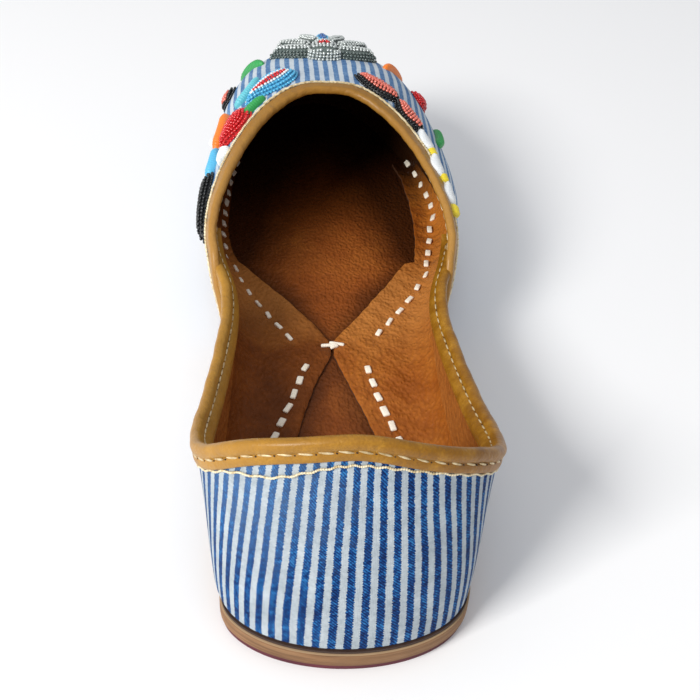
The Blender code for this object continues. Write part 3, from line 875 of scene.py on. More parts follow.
def flap(side):
    """A closed sheet down the wall and over the footbed, a little wavy, with its edge pressed down."""
    def place(u, v, face):
        y = blend(FLAP_HEEL, FLAP_TOE, u)
        point = flap_point(side, y, v)
        if v > CURVED_PART:
            point.x += 0.00007 * (math.sin(y * 500 + side) + math.sin(y * 1300)) * v
        if face:
            wave = 0.0002 * math.sin(point.x * 700 + y * 300) * math.sin(y * 420 + 1.0)
            edge_fall = 0.00035 * ease((v - 0.97) / 0.03)
            point.z += wave - edge_fall - pulled(side, point)
        else:
            sink = 1.0 - ease(v / CURVED_PART)
            point += Vector((side * 0.0006 * sink, 0, -FLAP * (1.0 - 0.5 * sink)))
        return bend_last(point) if v > CURVED_PART else point

    return sheet(330, 48, place, edge_material=1)


# Both flaps get painted light at their fronts and painted shade towards the toe; the right one also a painted
# highlight across its lit wall.
flap_finish = pebbled_leather(
    "flap_leather", [(0.200, 0.050, 0.006), (0.330, 0.092, 0.011), (0.450, 0.150, 0.022)], 0.0010, 0.36,
    lit_across=(0.031, 0.038), lit_along=(0.098, 0.163), shaded_toward_toe=(0.180, 0.212))
# The left flap's darker tones are painted shade: the same leather as the right flap, darkened for the left
# wall's shadow.
shaded_left_flap_finish = pebbled_leather(
    "left_flap_leather_painted_shade", [(0.115, 0.029, 0.004), (0.205, 0.054, 0.006), (0.300, 0.090, 0.012)], 0.0011, 0.48,
    lit_along=(0.102, 0.165), shaded_toward_toe=(0.180, 0.212))
# The flaps' cut edges are dyed dark as painted shade, for the shadow in the gap along them.
shaded_cut_finish = finish_named("cut_leather_painted_shade", Base_Color=(0.085, 0.028, 0.009, 1.0), Roughness=0.8)
finish_piece("left_flap", flap(-1), [shaded_left_flap_finish, shaded_cut_finish])
finish_piece("right_flap", flap(1), [flap_finish, shaded_cut_finish])

# ---------------------------------------------------------------------------------------------------
# Sole stitching: thick waxed cotton thread, sewn by hand through the flaps and the sole in four rows,
# and one tack of three stitches at the waist, where the flaps meet.
# ---------------------------------------------------------------------------------------------------
STITCH_THICK = 0.0009
TACK = [(-0.0012, 0.1047, 0.1, 5.2), (0.0010, 0.1055, -0.2, 4.6), (0.0002, 0.1040, 0.5, 2.6)]


def soft_bar(bm, middle, along, out, size):
    """A small bar with rounded edges, lying along a direction on a surface."""
    across = out.cross(along).normalized()
    turned = Matrix((along.normalized(), across, out.normalized())).transposed().to_4x4()
    made = bmesh.ops.create_cube(bm, size=1.0, matrix=Matrix.Translation(middle) @ turned
                                 @ Matrix.Diagonal((*size, 1.0)))
    edges = list({edge for vert in made["verts"] for edge in vert.link_edges})
    bmesh.ops.bevel(bm, geom=edges, offset=0.42 * size.z, offset_type="OFFSET", segments=3, profile=0.5,
                    affect="EDGES", material=-1)


cord_finish = finish_named("waxed_cotton", Roughness=0.75, Sheen_Weight=0.2)
mottled(cord_finish, 500.0, 3.0,
        [(0.25, (0.70, 0.60, 0.44)), (0.40, (0.92, 0.85, 0.71)), (0.75, (0.95, 0.90, 0.78))])
grained(cord_finish, 1500.0, 2.0, 0.6, 0.0003)
chance = random.Random(5)
bm = bmesh.new()
for side, spots in SEAM_PLACES.items():
    for spot, heading, (length, width) in spots:
        skew = Matrix.Rotation(chance.uniform(-0.16, 0.16), 3, "Z") @ heading
        size = Vector((length / 1000 * chance.uniform(0.85, 1.15), width / 1000 * chance.uniform(0.85, 1.1),
                       STITCH_THICK))
        on_wall = spot.z > insole_top(spot.y) + FLAP + 0.0008
        lean = Vector((-side * 0.7, 0, 0.7)) if on_wall else Vector((0, 0, 1))
        soft_bar(bm, (spot if on_wall else bend_last(spot)) + 0.00005 * lean, skew, lean, size)
for x, y, turned, length in TACK:
    soft_bar(bm, Vector((x, y, insole_top(y) + FLAP + 0.0003)), Vector((1, turned, 0)), Vector((0, 0, 1)),
             Vector((length / 1000, 0.0011, STITCH_THICK)))
finish_piece("sole_stitching", bm, [cord_finish])

# ---------------------------------------------------------------------------------------------------
# Quarter binding: a strip of soft golden leather, folded over the quarter's rim by hand in a thick
# roll and sewn down on both faces.
# ---------------------------------------------------------------------------------------------------
QUARTER_FOLD = [  # depth below the rim and distance out of the wall's outer face, in millimetres
    (5.3, 0.1), (5.3, 0.45), (4.9, 0.8), (4.0, 0.95), (3.1, 0.85), (2.7, 0.5), (2.3, 0.85), (1.6, 1.15),
    (0.8, 1.2), (0.1, 1.0), (-0.4, 0.5), (-0.6, -0.2), (-0.5, -0.9), (-0.2, -1.5), (0.3, -1.9), (0.8, -2.15),
    (1.1, -2.1), (1.4, -2.6), (2.2, -3.3), (3.2, -3.8), (4.3, -3.9), (5.3, -3.5), (5.8, -2.7), (5.5, -1.65),
    (3.0, -1.65), (0.5, -1.65), (0.1, -0.8), (0.5, 0.1), (3.0, 0.1)]
HEEL_LIFTS = [(0.0028, -0.38), (0.0014, 0.45)]   # how high and at which turn


def rounded(points):
    """A closed outline with its corners cut smooth, twice over."""
    for _ in range(2):
        points = [pair for a, b in zip(points, points[1:] + points[:1]) for pair in (
            tuple(blend(p, q, 0.25) for p, q in zip(a, b)), tuple(blend(p, q, 0.75) for p, q in zip(a, b)))]
    return points


@lru_cache(maxsize=None)
def edge_frame(turn, top):
    """The edge of a piece that covers its sections up to top(turn), with its slopes in turn and rise."""
    rise = top(turn)
    along = last_point(turn + STEP, top(turn + STEP)) - last_point(turn - STEP, top(turn - STEP))
    by_turn = (last_point(turn + STEP, rise) - last_point(turn - STEP, rise)) / (2 * STEP)
    by_rise = (last_point(turn, rise + STEP) - last_point(turn, rise - STEP)) / (2 * STEP)
    out = by_turn.cross(by_rise).normalized()
    down = along.cross(out).normalized()
    a, b, c = by_turn.dot(by_turn), by_turn.dot(by_rise), by_rise.dot(by_rise)
    p, q = by_turn.dot(down), by_rise.dot(down)
    size = a * c - b * b
    return rise, (c * p - b * q) / size, (a * q - b * p) / size


def heel_lift(turn):
    """How much higher the binding rides on the cloth at both sides of the heel seam."""
    return sum(height * bell((turn - middle) / 0.20) for height, middle in HEEL_LIFTS)


def below_edge(turn, top, depth):
    """The turn and rise of a place so far below a piece's edge, along the wall."""
    depth -= heel_lift(turn) if top is quarter_top else 0.0
    rise, turn_slope, rise_slope = edge_frame(turn, top)
    return turn + depth * turn_slope, max(0.0, rise + depth * rise_slope)


def tuck(turn, rise, offset):
    """Flattens what lies under the vamp."""
    y = foot_y(turn)
    if y < WING_FOOT_Y:
        return offset
    hidden = ease((vamp_top(turn) - rise + 0.02) / 0.05)
    return blend(offset, min(offset, 0.0002), hidden)


def folded_binding(turns, fold, place):
    """A binding along an edge, closed round its outline and at both ends."""
    outline = rounded([(depth / 1000, offset / 1000) for depth, offset in fold])
    columns, rows = len(turns) - 1, len(outline)
    bm = bmesh.new()
    bmesh.ops.create_grid(bm, x_segments=columns, y_segments=rows, size=1.0)
    for vert in bm.verts:
        column = round((vert.co.x + 1.0) / 2.0 * columns)
        row = round((vert.co.y + 1.0) / 2.0 * rows) % rows
        vert.co = place(turns[column], *outline[row], column / columns)
    bmesh.ops.remove_doubles(bm, verts=bm.verts, dist=1e-7)
    ends = [edge for edge in bm.edges if edge.is_boundary]
    bmesh.ops.holes_fill(bm, edges=ends, sides=0)
    return bm


def puff(turn, span_of_puff, height):
    """Small uneven swellings along a binding."""
    place = foot_y(turn) * 1000
    return height * (math.sin(place / span_of_puff) + 0.6 * math.sin(place / span_of_puff * 2.3 + turn))


def quarter_fold_place(turn, depth, offset, share):
    """A place on the roll, which draws together at both ends."""
    close = ease(share / 0.02) * ease((1.0 - share) / 0.02)
    depth = blend(0.002, depth, close) if close < 1.0 else depth
    offset += puff(turn, 3.1, 0.00008) if depth < 0.003 else 0.0
    turn, rise = below_edge(turn, quarter_top, depth)
    return wall_point(turn, rise, tuck(turn, rise, offset))


def golden_leather(name, deep, mid, bright, painted_light, axis, start, end):
    """Soft metal-faced leather, with a fine wrinkled grain. Along that axis, from start to end, a painted
    highlight turns its gold towards the paler colour given for it."""
    material = finish_named(name, Roughness=0.45, Specular_IOR_Level=0.2, Coat_Weight=0.22,
                            Coat_Roughness=0.28)
    where = place_of(material)
    patches = noise(material, where, 160.0, 4.0, 0.6)
    grain = noise(material, where, 1700.0, 3.0, 0.6)
    tone = ramp(material, patches, [(0.22, deep), (0.50, mid), (0.78, bright)])
    shade = mix(material, span(material, grain, 0.35, 0.65, 0.0, 0.35), tone, deep)
    along = ragged(material, part_of(material, where, axis), patches, 0.01)
    shade = mix(material, span(material, along, start, end, 0.0, 0.5), shade, painted_light)
    feed(material, "Base Color", shade)
    wrinkles = noise(material, where, 420.0, 3.0, 0.55, 0.6)
    rough = bump(material, grain, 0.35, 0.0002)
    feed(material, "Normal", bump(material, wrinkles, 0.55, 0.0007, rough))
    return material


# A painted highlight pales the gold towards the heel band's left side.
gold_finish = golden_leather(
    "golden_leather", (0.155, 0.056, 0.003), (0.300, 0.130, 0.007), (0.500, 0.250, 0.026),
    painted_light=(0.52, 0.275, 0.045), axis="X", start=0.014, end=-0.030)
quarter_fold = folded_binding(round_heel(QUARTER_FRONT_Y, 420), QUARTER_FOLD, quarter_fold_place)
finish_piece("quarter_binding_fold", quarter_fold, [gold_finish], ["quarter_binding"],
             sharp=60.0)

# ---------------------------------------------------------------------------------------------------
# Vamp binding: a strip of paler golden leather, folded over the vamp's edge round the throat and down
# the back of both wings, and sewn through. It is narrower at the throat's middle.
# ---------------------------------------------------------------------------------------------------
VAMP_FOLD = [  # the same two measures, from the vamp's edge
    (4.7, 1.35), (4.7, 1.6), (4.4, 1.8), (3.4, 1.85), (2.0, 1.9), (0.8, 1.95), (-0.2, 1.8), (-0.8, 1.3),
    (-1.05, 0.6), (-0.9, -0.1), (-0.4, -0.5), (0.2, -0.7), (0.7, -0.75), (1.0, -0.65), (1.4, -0.85),
    (2.6, -1.05), (3.8, -0.75), (4.2, -0.55), (4.1, -0.35), (0.3, -0.3), (0.0, 0.5), (0.3, 1.35), (2.4, 1.35)]
THROAT_GROWTH, WING_GROWTH = 0.73, 0.90          # the share of its width there and at the wings


def binding_growth(turn):
    return blend(THROAT_GROWTH, WING_GROWTH, math.cos(turn / 2.0) ** 2)


def vamp_fold_place(turn, depth, offset, share):
    """A place on the fold, which lies flat at both ends and is thinner inside the wings' feet."""
    thin = ease(share / 0.03) * ease((1.0 - share) / 0.03)
    depth *= binding_growth(turn)
    if offset < 0.0:
        offset *= blend(0.25, 1.0, ease((foot_y(turn) - 0.112) / 0.02))
    flat = VAMP_FACE + 0.0003 if offset > 0.0008 else -0.0001
    offset = blend(flat, offset + puff(turn, 2.6, 0.00007), thin)
    return wall_point(*below_edge(turn, vamp_top, depth), offset)


# A painted highlight pales the gold towards the wings.
pale_gold_finish = golden_leather(
    "pale_golden_leather", (0.225, 0.096, 0.009), (0.290, 0.136, 0.016), (0.375, 0.192, 0.032),
    painted_light=(0.50, 0.262, 0.066), axis="Y", start=HEEL_SEAM.y + 0.190, end=HEEL_SEAM.y + 0.135)
vamp_fold = folded_binding(round_toe(WING_FOOT_Y, 360), VAMP_FOLD, vamp_fold_place)
finish_piece("vamp_binding_fold", vamp_fold, [pale_gold_finish], ["vamp_binding"],
             sharp=60.0)

# ---------------------------------------------------------------------------------------------------
# Binding stitches: thin golden thread, sewn through both bindings in even dashes, and a thin twisted
# cord of paler thread, laid along their lower edges and tacked to the cloth.
# ---------------------------------------------------------------------------------------------------
ROWS_OF_THREAD = [  # name, edge, y of its ends, depth below it, offset, period, dash, thickness, slant
    ("quarter_outer_stitches", quarter_top, 0.112, 0.0027, 0.00070, 0.0044, 0.0035, 0.00062, 0.010),
    ("quarter_inner_stitches", quarter_top, 0.147, 0.0011, -0.00225, 0.0034, 0.0027, 0.00050, 0.008),
    ("vamp_inner_stitches", vamp_top, 0.128, 0.0009, -0.00078, 0.0036, 0.0027, 0.00045, 0.0),
]
NEEDLE_HOLE = Vector((0.0007, 0.0005, 0.0004))
QUARTER_CORD_END = 0.119
VAMP_CORD_DEPTH = 0.0051
TWIST, TWIST_STEP = 0.28, 2.1                    # how uneven a cord is, and how fast it turns


def even_turns(turns, top, period):
    """Turns at even steps along a piece's edge."""
    points = [last_point(turn, top(turn)) for turn in turns]
    run = [0.0]
    for a, b in zip(points, points[1:]):
        run.append(run[-1] + (b - a).length)
    return [float(np.interp((i + 0.5) * period, run, turns)) for i in range(int(run[-1] / period))]


@lru_cache(maxsize=None)
def ball(sides, rings):
    """A small round mesh to copy."""
    bm = bmesh.new()
    bmesh.ops.create_uvsphere(bm, u_segments=sides, v_segments=rings, radius=0.5)
    mesh = bpy.data.meshes.new("ball")
    bm.to_mesh(mesh)
    bm.free()
    return mesh


def oval(bm, middle, along, out, size, material=0, sides=8, rings=5):
    """Adds a small rounded shape lying on a surface, with its length, width and thickness."""
    across = out.cross(along).normalized()
    out = along.cross(across).normalized()
    turned = Matrix((along.normalized(), across, out)).transposed().to_4x4()
    copy = ball(sides, rings).copy()
    copy.transform(Matrix.Translation(middle) @ turned @ Matrix.Diagonal((*size, 1.0)))
    copy.polygons.foreach_set("material_index", [material] * len(copy.polygons))
    bm.from_mesh(copy)
    bpy.data.meshes.remove(copy)


def edge_stitches(turns, top, depth, offset, period, dash, thickness, slant):
    """A row of stitches below an edge, with a dark oval between each two: a needle hole, coloured as painted
    shade.
    """
    bm = bmesh.new()
    facing = 1.0 if offset > 0.0 else -1.0
    for turn in even_turns(turns, top, period):
        back, ahead = (wall_point(*below_edge(turn + shift, top, depth + slant * shift), offset)
                       for shift in (-0.004, 0.004))
        _, out = wall_frame(*below_edge(turn, top, depth))
        along = (ahead - back).normalized()
        middle = (back + ahead) / 2.0
        oval(bm, middle, along, facing * out, Vector((dash, thickness, thickness)))
        # The hole is a dark oval on the surface, its darkness painted shade.
        hole = middle + along * period / 2.0 - facing * 0.0001 * out
        oval(bm, hole, along, facing * out, NEEDLE_HOLE, 1, 6, 4)
    return bm


thread_finish = finish_named("gold_thread", Roughness=0.4, Metallic=0.25)
mottled(thread_finish, 700.0, 2.0, [(0.3, (0.42, 0.29, 0.12)), (0.6, (0.72, 0.59, 0.36))])
pale_thread_finish = finish_named("pale_gold_thread", Roughness=0.45, Metallic=0.1)
mottled(pale_thread_finish, 900.0, 2.0, [(0.35, (0.52, 0.40, 0.20)), (0.55, (0.80, 0.70, 0.48))])
# Painted shade: the dark of the needle holes.
hole_shade_finish = finish_named("needle_hole_shade", Base_Color=(0.05, 0.022, 0.008, 1.0), Roughness=0.9)
for name, top, end_y, *row in ROWS_OF_THREAD:
    turns = round_heel(end_y, 400) if top is quarter_top else round_toe(end_y, 400)
    finish_piece(name, edge_stitches(turns, top, *row), [thread_finish, hole_shade_finish])


def edge_cord(turns, top, depth, offset, radius, droop):
    """A thin twisted cord along the lower edge of a binding."""
    circle = [(1000 * (depth + radius * math.cos(a)), 1000 * (offset + radius * math.sin(a)))
              for a in (math.pi * k / 3 for k in range(6))]
    run = {turn: i for i, turn in enumerate(turns)}

    def place(turn, at_depth, at_offset, share):
        twist = 1.0 + TWIST * math.sin(run[turn] * TWIST_STEP)
        at_depth = depth + (at_depth - depth) * twist + droop(turn)
        at_offset = offset + (at_offset - offset) * twist
        return wall_point(*below_edge(turn, top, at_depth), at_offset)

    return folded_binding(turns, circle, place)


def quarter_droop(turn):
    """The cord hangs loose on the cloth beside the left corner of the heel."""
    place = foot_y(turn) * (1 if turn > 0 else -1)
    return 0.0030 * bell((place + 0.006) / 0.006) + 0.0002 * math.sin(turn * 90)


def vamp_droop(turn):
    """The cord follows the vamp binding's narrowing."""
    return 0.0049 * (binding_growth(turn) - 1.0) + 0.0001 * math.sin(turn * 110)


quarter_cord = edge_cord(round_heel(QUARTER_CORD_END, 900), quarter_top, 0.0056, 0.0003, 0.00030,
                         quarter_droop)
finish_piece("quarter_edge_cord", quarter_cord, [pale_thread_finish])
turns = [turn for turn in round_toe(WING_FOOT_Y, 1000)
         if below_edge(turn, vamp_top, VAMP_CORD_DEPTH + vamp_droop(turn))[1] > 0.03]
vamp_cord = edge_cord(turns, vamp_top, VAMP_CORD_DEPTH, 0.0019, 0.00042, vamp_droop)
finish_piece("vamp_edge_cord", vamp_cord, [pale_thread_finish])

# ---------------------------------------------------------------------------------------------------
# Beadwork: leaves, buds and drops sewn on the vamp's cotton by hand, over a padding of cotton cord:
# some covered with rows of glass seed beads, some with wound silky thread.
# ---------------------------------------------------------------------------------------------------
CELL = 0.0015                                    # of a grid over the vamp's cloth
LONGEST_STEP = 0.1                               # of the search for its corners
BEAD, BEAD_STEP = 0.00112, 0.00118
SIDE_STEP, SIDE_LEAN = 0.00098, 0.0002           # between the rows up a leaf's side, and inwards
LOWEST_ROW = 0.0004
OUTLINE_SPOTS = 180                              # places round a leaf at which a bead may sit
PADDING_SINK = 0.0004                            # how far a leaf's padding lies below its beads' middles
WINDING, WINDING_DEPTH = 0.9, 0.00022            # the wound thread's width in millimetres, and its relief
COLOURS = {  # each with its share of metal
    "silver": ((0.58, 0.62, 0.60), 0.25), "black": ((0.004, 0.005, 0.006), 0.0),
    "smoke": ((0.10, 0.13, 0.12), 0.0), "red": ((0.62, 0.008, 0.012), 0.0),
    "orange": ((0.85, 0.20, 0.012), 0.0), "yellow": ((0.78, 0.62, 0.02), 0.0),
    "green": ((0.02, 0.33, 0.07), 0.0), "turquoise": ((0.12, 0.52, 0.60), 0.0),
    "sky": ((0.09, 0.45, 0.72), 0.0), "blue": ((0.02, 0.12, 0.38), 0.0),
    "white": ((0.78, 0.81, 0.82), 0.0), "coral": ((0.72, 0.17, 0.12), 0.0),
}
PALETTE = list(COLOURS)


def held(step):
    return max(-LONGEST_STEP, min(LONGEST_STEP, step))


def find_on_vamp(across, y, guess):
    """The turn and rise of a place on the cloth, by Newton's steps from a guess."""
    turn, rise = guess
    for _ in range(5):
        here = cloth_at(turn, rise)
        by_turn = [(b - a) / STEP for a, b in zip(here, cloth_at(turn + STEP, rise))]
        by_rise = [(b - a) / STEP for a, b in zip(here, cloth_at(turn, rise - STEP))]
        miss = across - here[0], y - here[1]
        size = by_turn[0] * by_rise[1] - by_turn[1] * by_rise[0]
        if abs(size) < 1e-9:
            break
        turn += held((miss[0] * by_rise[1] - miss[1] * by_rise[0]) / size)
        rise -= held((by_turn[0] * miss[1] - by_turn[1] * miss[0]) / size)
        rise = max(0.0, min(1.0, rise))
    return turn, rise


@lru_cache(maxsize=None)
def vamp_corner(i, j):
    """The turn and rise of a corner of the cloth's grid, each found from its neighbour's."""
    if i == 0:
        rises = [k / 200.0 for k in range(201)]
        ys = [last_point(math.pi, rise).y for rise in rises]
        guess = math.pi + 1e-6, float(np.interp(-j * CELL, [-y for y in ys], rises))
    else:
        guess = vamp_corner(i - 1 if i > 0 else i + 1, j)
    return find_on_vamp(i * CELL, j * CELL, guess)


@lru_cache(maxsize=None)
def vamp_cell(i, j):
    """Point and normal of the vamp's face at a corner of that grid."""
    point, out = wall_frame(*vamp_corner(i, j))
    return point + VAMP_FACE * out, out


def on_vamp(across, y, lift):
    """A point that far above the vamp's cloth, and the way out of the cloth there."""
    a, b = across / CELL, y / CELL
    i, j = math.floor(a), math.floor(b)
    p, q = a - i, b - j
    corners = [vamp_cell(i, j), vamp_cell(i + 1, j), vamp_cell(i, j + 1), vamp_cell(i + 1, j + 1)]
    point, out = (corners[0][k].lerp(corners[1][k], p).lerp(corners[2][k].lerp(corners[3][k], p), q)
                  for k in (0, 1))
    out.normalize()
    return point + lift * out, out


def half_width(form, t):
    """Share of a leaf's half width, from its stalk at 0 to its tip at 1."""
    t = min(1.0, max(0.0, t))
    if form == "bar":
        return max(0.05, (1.0 - abs(2 * t - 1) ** 5) ** 0.5)
    if form == "drop":
        return max(0.03, math.sin(math.pi * t ** 1.5) ** 0.7)
    return max(0.03, math.sin(math.pi * t ** 0.85) ** 0.9)


def leaf_spot(leaf, t, u, shrink=0.0):
    """A place in a leaf: t along it and u across it from -1 to 1, in metres over the cloth."""
    length, width = leaf.length / 1000 - 2 * shrink, leaf.width / 1000 - 2 * shrink
    along = (t - 0.5) * length
    aside = u * width / 2 * half_width(leaf.form, t) + leaf.bend / 1000 * (1 - (2 * t - 1) ** 2)
    turned = math.radians(leaf.heading)
    return (leaf.across / 1000 + along * math.sin(turned) + aside * math.cos(turned),
            leaf.y / 1000 + along * math.cos(turned) - aside * math.sin(turned))


def padding(bm, leaf, ridge, sink, columns, material):
    """A leaf's domed body, closed below, with ridges across it where thread is wound."""
    made = sheet(columns, 10, lambda t, v, side: leaf_dome(leaf, t, 2 * v - 1, side, ridge, sink))
    bmesh.ops.recalc_face_normals(made, faces=made.faces)
    for face in made.faces:
        face.material_index = material
    spare = bpy.data.meshes.new("spare")
    made.to_mesh(spare)
    made.free()
    bm.from_mesh(spare)
    bpy.data.meshes.remove(spare)


def leaf_lift(leaf, t, u):
    """The dome's height over the cloth."""
    crown = math.sqrt(max(0.0, 1.0 - 0.92 * u * u))
    return leaf.height / 1000 * crown * min(1.0, 5.0 * t, 5.0 * (1.0 - t)) ** (
        0.25 if leaf.form == "bar" else 0.5)


def leaf_dome(leaf, t, u, side, ridge, sink):
    """A point of the padding's upper side, or of its flat base."""
    across, y = leaf_spot(leaf, t, u)
    if not side:
        return on_vamp(across, y, -0.0003)[0]
    wound = ridge * abs(math.sin(math.pi * t * leaf.length / WINDING))
    return on_vamp(across, y, max(0.0, leaf_lift(leaf, t, u) - sink - wound))[0]


def bead_rows(bm, leaf):
    """Beads in rows that follow the leaf's outline, from its edge inwards."""
    length, width = leaf.length / 1000, leaf.width / 1000
    count = OUTLINE_SPOTS // 2
    there = [0.5 - 0.5 * math.cos(math.pi * k / count) for k in range(count)]
    loop = [(t, 1.0) for t in there] + [(1.0 - t, -1.0) for t in there]
    climbing = 1 + max(0, int((0.0006 * leaf.height - 0.0008) / SIDE_STEP))
    sides = [(SIDE_LEAN * k - SIDE_LEAN, LOWEST_ROW + k * SIDE_STEP) for k in range(climbing)]
    middle_line = width / 2 - 0.0002
    inwards = [(min(k * BEAD_STEP + BEAD / 2, middle_line), None)
               for k in range(math.ceil(middle_line / BEAD_STEP))]
    for row, (shrink, low) in enumerate(sides + inwards):
        spots = [leaf_spot(leaf, t, u, shrink) for t, u in loop]
        run, last = 0.0, spots[-1]
        colour = leaf.colours[min(max(0, row - len(sides)), len(leaf.colours) - 1)]
        for (t, u), spot in zip(loop, spots):
            run += math.dist(last, spot)
            last = spot
            if run >= BEAD_STEP:
                run -= BEAD_STEP
                at = 0.5 + (t - 0.5) * (length - 2 * shrink) / length
                share = (width - 2 * shrink) * half_width(leaf.form, t) / (width * half_width(leaf.form, at))
                lift = leaf_lift(leaf, at, u * min(1.0, share)) if low is None else low
                middle, out = on_vamp(*spot, lift)
                size = BEAD * chance.uniform(0.92, 1.08)
                oval(bm, middle, Vector((0, 1, 0)), out, Vector((size, size, size * 0.85)),
                     PALETTE.index(colour), 7, 5)


bead_finishes, thread_finishes = [], []
for name, (colour, metal) in COLOURS.items():
    bead_finishes.append(finish_named(name + "_beads", Base_Color=(*colour, 1.0), Roughness=0.14,
                                      Metallic=metal, Coat_Weight=0.15 if name == "black" else 0.5,
                                      Coat_Roughness=0.05))
    wound = finish_named(name + "_thread", Base_Color=(*colour, 1.0), Roughness=0.38, Sheen_Weight=0.15)
    grained(wound, 1800.0, 3.0, 0.5, 0.0003)
    thread_finishes.append(wound)

# Across is from the vamp's middle line, y from the heel, heading 0 to the toe and 90 to the right.
Leaf = namedtuple("Leaf", "across y heading length width height bend form colours")


def mirrored(across, y, heading, length, width, height, bend, form, colours):
    """A leaf on the left and its mirror image on the right."""
    return [Leaf(side * across, y, side * heading, length, width, height, -side * bend, form, colours)
            for side in (-1, 1)]


BEADED = {
    "centre_beadwork": [
        *mirrored(10.4, 211.0, 80, 16, 7.0, 3.6, 1.2, "leaf", ("smoke", "silver", "silver")),
        *mirrored(9.8, 216.5, 54, 16, 7.0, 4.2, 1.0, "leaf", ("black", "silver", "silver")),
        *mirrored(4.8, 222, 24, 16, 6.8, 4.6, 0.5, "leaf", ("black", "silver", "silver")),
        Leaf(0, 222, 0, 18, 7.0, 4.8, 0.0, "leaf", ("sky", "sky", "blue")),
        Leaf(0, 211.0, 0, 10.5, 11.0, 5.0, 0.0, "bar", ("silver", "silver", "silver", "red", "red")),
    ],
    "left_beadwork": [
        Leaf(-19.0, 187.0, 52, 22, 9.6, 2.6, 0.0, "drop", ("sky", "sky", "white", "red")),
        Leaf(-33.0, 169.5, 32, 19, 9.4, 2.8, 0.0, "drop", ("red", "red", "red", "red")),
        Leaf(-47.6, 144.5, 19, 22, 6.0, 2.2, -0.5, "bar", ("black", "black", "black")),
    ],
    "right_beadwork": [
        Leaf(17.0, 187.0, -54, 18, 7.6, 2.4, -0.8, "leaf", ("black", "coral", "coral", "coral")),
        Leaf(28.0, 176.0, -36, 16, 7.2, 2.3, -0.8, "leaf", ("black", "coral", "coral")),
    ],
    "toe_beadwork": [
        *mirrored(15, 229, 30, 18, 7.6, 2.2, 0.6, "leaf", ("turquoise", "white", "red")),
        Leaf(-38, 203, -14, 18, 7.6, 2.2, 0.6, "leaf", ("black", "coral", "coral")),
        Leaf(38, 203, 14, 18, 7.6, 2.2, -0.6, "leaf", ("red", "red", "red")),
        Leaf(0, 238, 0, 13, 7.6, 2.4, 0.0, "drop", ("black", "silver", "silver")),
    ],
}
WOUND = [
    Leaf(-39.0, 175.0, 18, 17, 3.6, 2.6, 0.8, "bar", ("orange",)),
    Leaf(-26.0, 175.5, 44, 14, 3.2, 2.2, -0.8, "bar", ("green",)),
    Leaf(-27.5, 188.0, 38, 15, 3.2, 2.2, 1.2, "bar", ("turquoise",)),
    Leaf(-37.5, 157.5, 20, 9, 5.2, 2.2, 0.0, "drop", ("white",)),
    Leaf(-42.8, 160.0, 18, 13, 3.6, 2.4, 0.6, "bar", ("sky",)),
    Leaf(33.8, 165.5, 155, 12, 5.4, 2.3, 0.6, "drop", ("white",)),
    Leaf(37.4, 154.5, 165, 12, 5.4, 2.3, 0.6, "drop", ("white",)),
    Leaf(42.2, 144.5, 162, 11, 5.2, 2.2, 0.4, "drop", ("white",)),
    Leaf(35.9, 160.0, -22, 3.6, 3.4, 2.3, 0.0, "bar", ("yellow",)),
    Leaf(39.8, 149.2, -18, 3.6, 3.4, 2.3, 0.0, "bar", ("yellow",)),
    Leaf(44.4, 138.2, -18, 4.0, 4.0, 2.4, 0.0, "bar", ("yellow",)),
    Leaf(-27, 213, -50, 15, 3.4, 2.2, 1.0, "bar", ("green",)),
    Leaf(27, 213, 50, 15, 3.4, 2.2, -1.0, "bar", ("orange",)),
    *mirrored(29, 223, 30, 13, 3.2, 2.2, 0.6, "bar", ("sky",)),
    Leaf(43, 180, 8, 15, 3.6, 2.2, 0.8, "bar", ("green",)),
    Leaf(-46, 186, -8, 15, 3.6, 2.2, -0.8, "bar", ("white",)),
]
for name, leaves in BEADED.items():
    bm = bmesh.new()
    for leaf in leaves:
        # Silver leaves get a dark smoke padding, so the gaps between their beads show as painted shade.
        under = "smoke" if "silver" in leaf.colours else leaf.colours[0]
        padding(bm, leaf, 0.0, PADDING_SINK, 16, len(PALETTE) + PALETTE.index(under))
        bead_rows(bm, leaf)
    finish_piece(name, bm, bead_finishes + thread_finishes, sharp=80.0)
bm = bmesh.new()
for leaf in WOUND:
    padding(bm, leaf, WINDING_DEPTH, 0.0, round(leaf.length / WINDING * 6), PALETTE.index(leaf.colours[0]))
finish_piece("wound_thread_leaves", bm, thread_finishes, sharp=80.0)

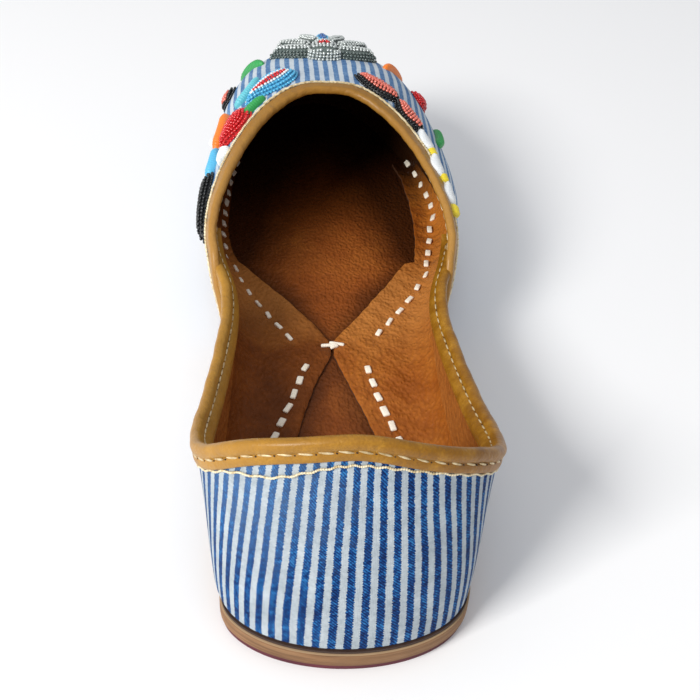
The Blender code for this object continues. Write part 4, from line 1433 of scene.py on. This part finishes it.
# ---------------------------------------------------------------------------------------------------
# Floor, light and camera: a pale matt floor that runs out of sight, a window's light from the left of
# the heel, a weak one overhead, and a view down over the heel.
# ---------------------------------------------------------------------------------------------------
PALE = (0.92, 0.92, 0.92)
FLOOR_REACH = 4.0
LIT = Vector((0, 0, 0.03))                       # where both lamps point
SKY, SKY_STRENGTH = (0.93, 0.95, 1.0, 1.0), 0.50
FOCAL_LENGTH, FILM_WIDTH = 55.7, 36.0            # in millimetres
CAMERA_PLACE = (-0.01734, -0.27205, 0.2193)
CAMERA_TURNS = (49.8, -3.005, -2.41)             # in degrees

bm = bmesh.new()
bmesh.ops.create_grid(bm, x_segments=1, y_segments=1, size=FLOOR_REACH)
mesh = bpy.data.meshes.new("floor")
bm.to_mesh(mesh)
bm.free()
mesh.materials.append(finish_named("pale_floor", Base_Color=(*PALE, 1.0), Roughness=0.9,
                                   Specular_IOR_Level=0.1))
floor = bpy.data.objects.new("floor", mesh)
bpy.context.collection.objects.link(floor)

Lamp = namedtuple("Lamp", "name place size power colour")
LAMPS = [
    Lamp("window", (-0.95, -0.80, 0.90), 0.50, 22.0, (1.0, 0.985, 0.96)),
    Lamp("overhead", (0.05, 0.05, 1.25), 1.2, 2.0, (1.0, 1.0, 1.0)),
]
for lamp in LAMPS:
    light = bpy.data.lights.new(lamp.name, "AREA")
    light.size = lamp.size
    light.energy = lamp.power
    light.color = lamp.colour
    stand = bpy.data.objects.new(lamp.name, light)
    stand.location = lamp.place
    aim = LIT - Vector(lamp.place)
    stand.rotation_euler = aim.to_track_quat("-Z", "Y").to_euler()
    bpy.context.collection.objects.link(stand)

world = bpy.data.worlds.new("studio")
world.use_nodes = True
world.node_tree.nodes["Background"].inputs["Color"].default_value = SKY
world.node_tree.nodes["Background"].inputs["Strength"].default_value = SKY_STRENGTH
bpy.context.scene.world = world
bpy.context.scene.view_settings.view_transform = "Standard"

lens = bpy.data.cameras.new("camera")
lens.lens = FOCAL_LENGTH
lens.sensor_width = FILM_WIDTH
lens.clip_start = 0.01
camera = bpy.data.objects.new("camera", lens)
camera.location = CAMERA_PLACE
camera.rotation_euler = [math.radians(angle) for angle in CAMERA_TURNS]
bpy.context.collection.objects.link(camera)
bpy.context.scene.camera = camera
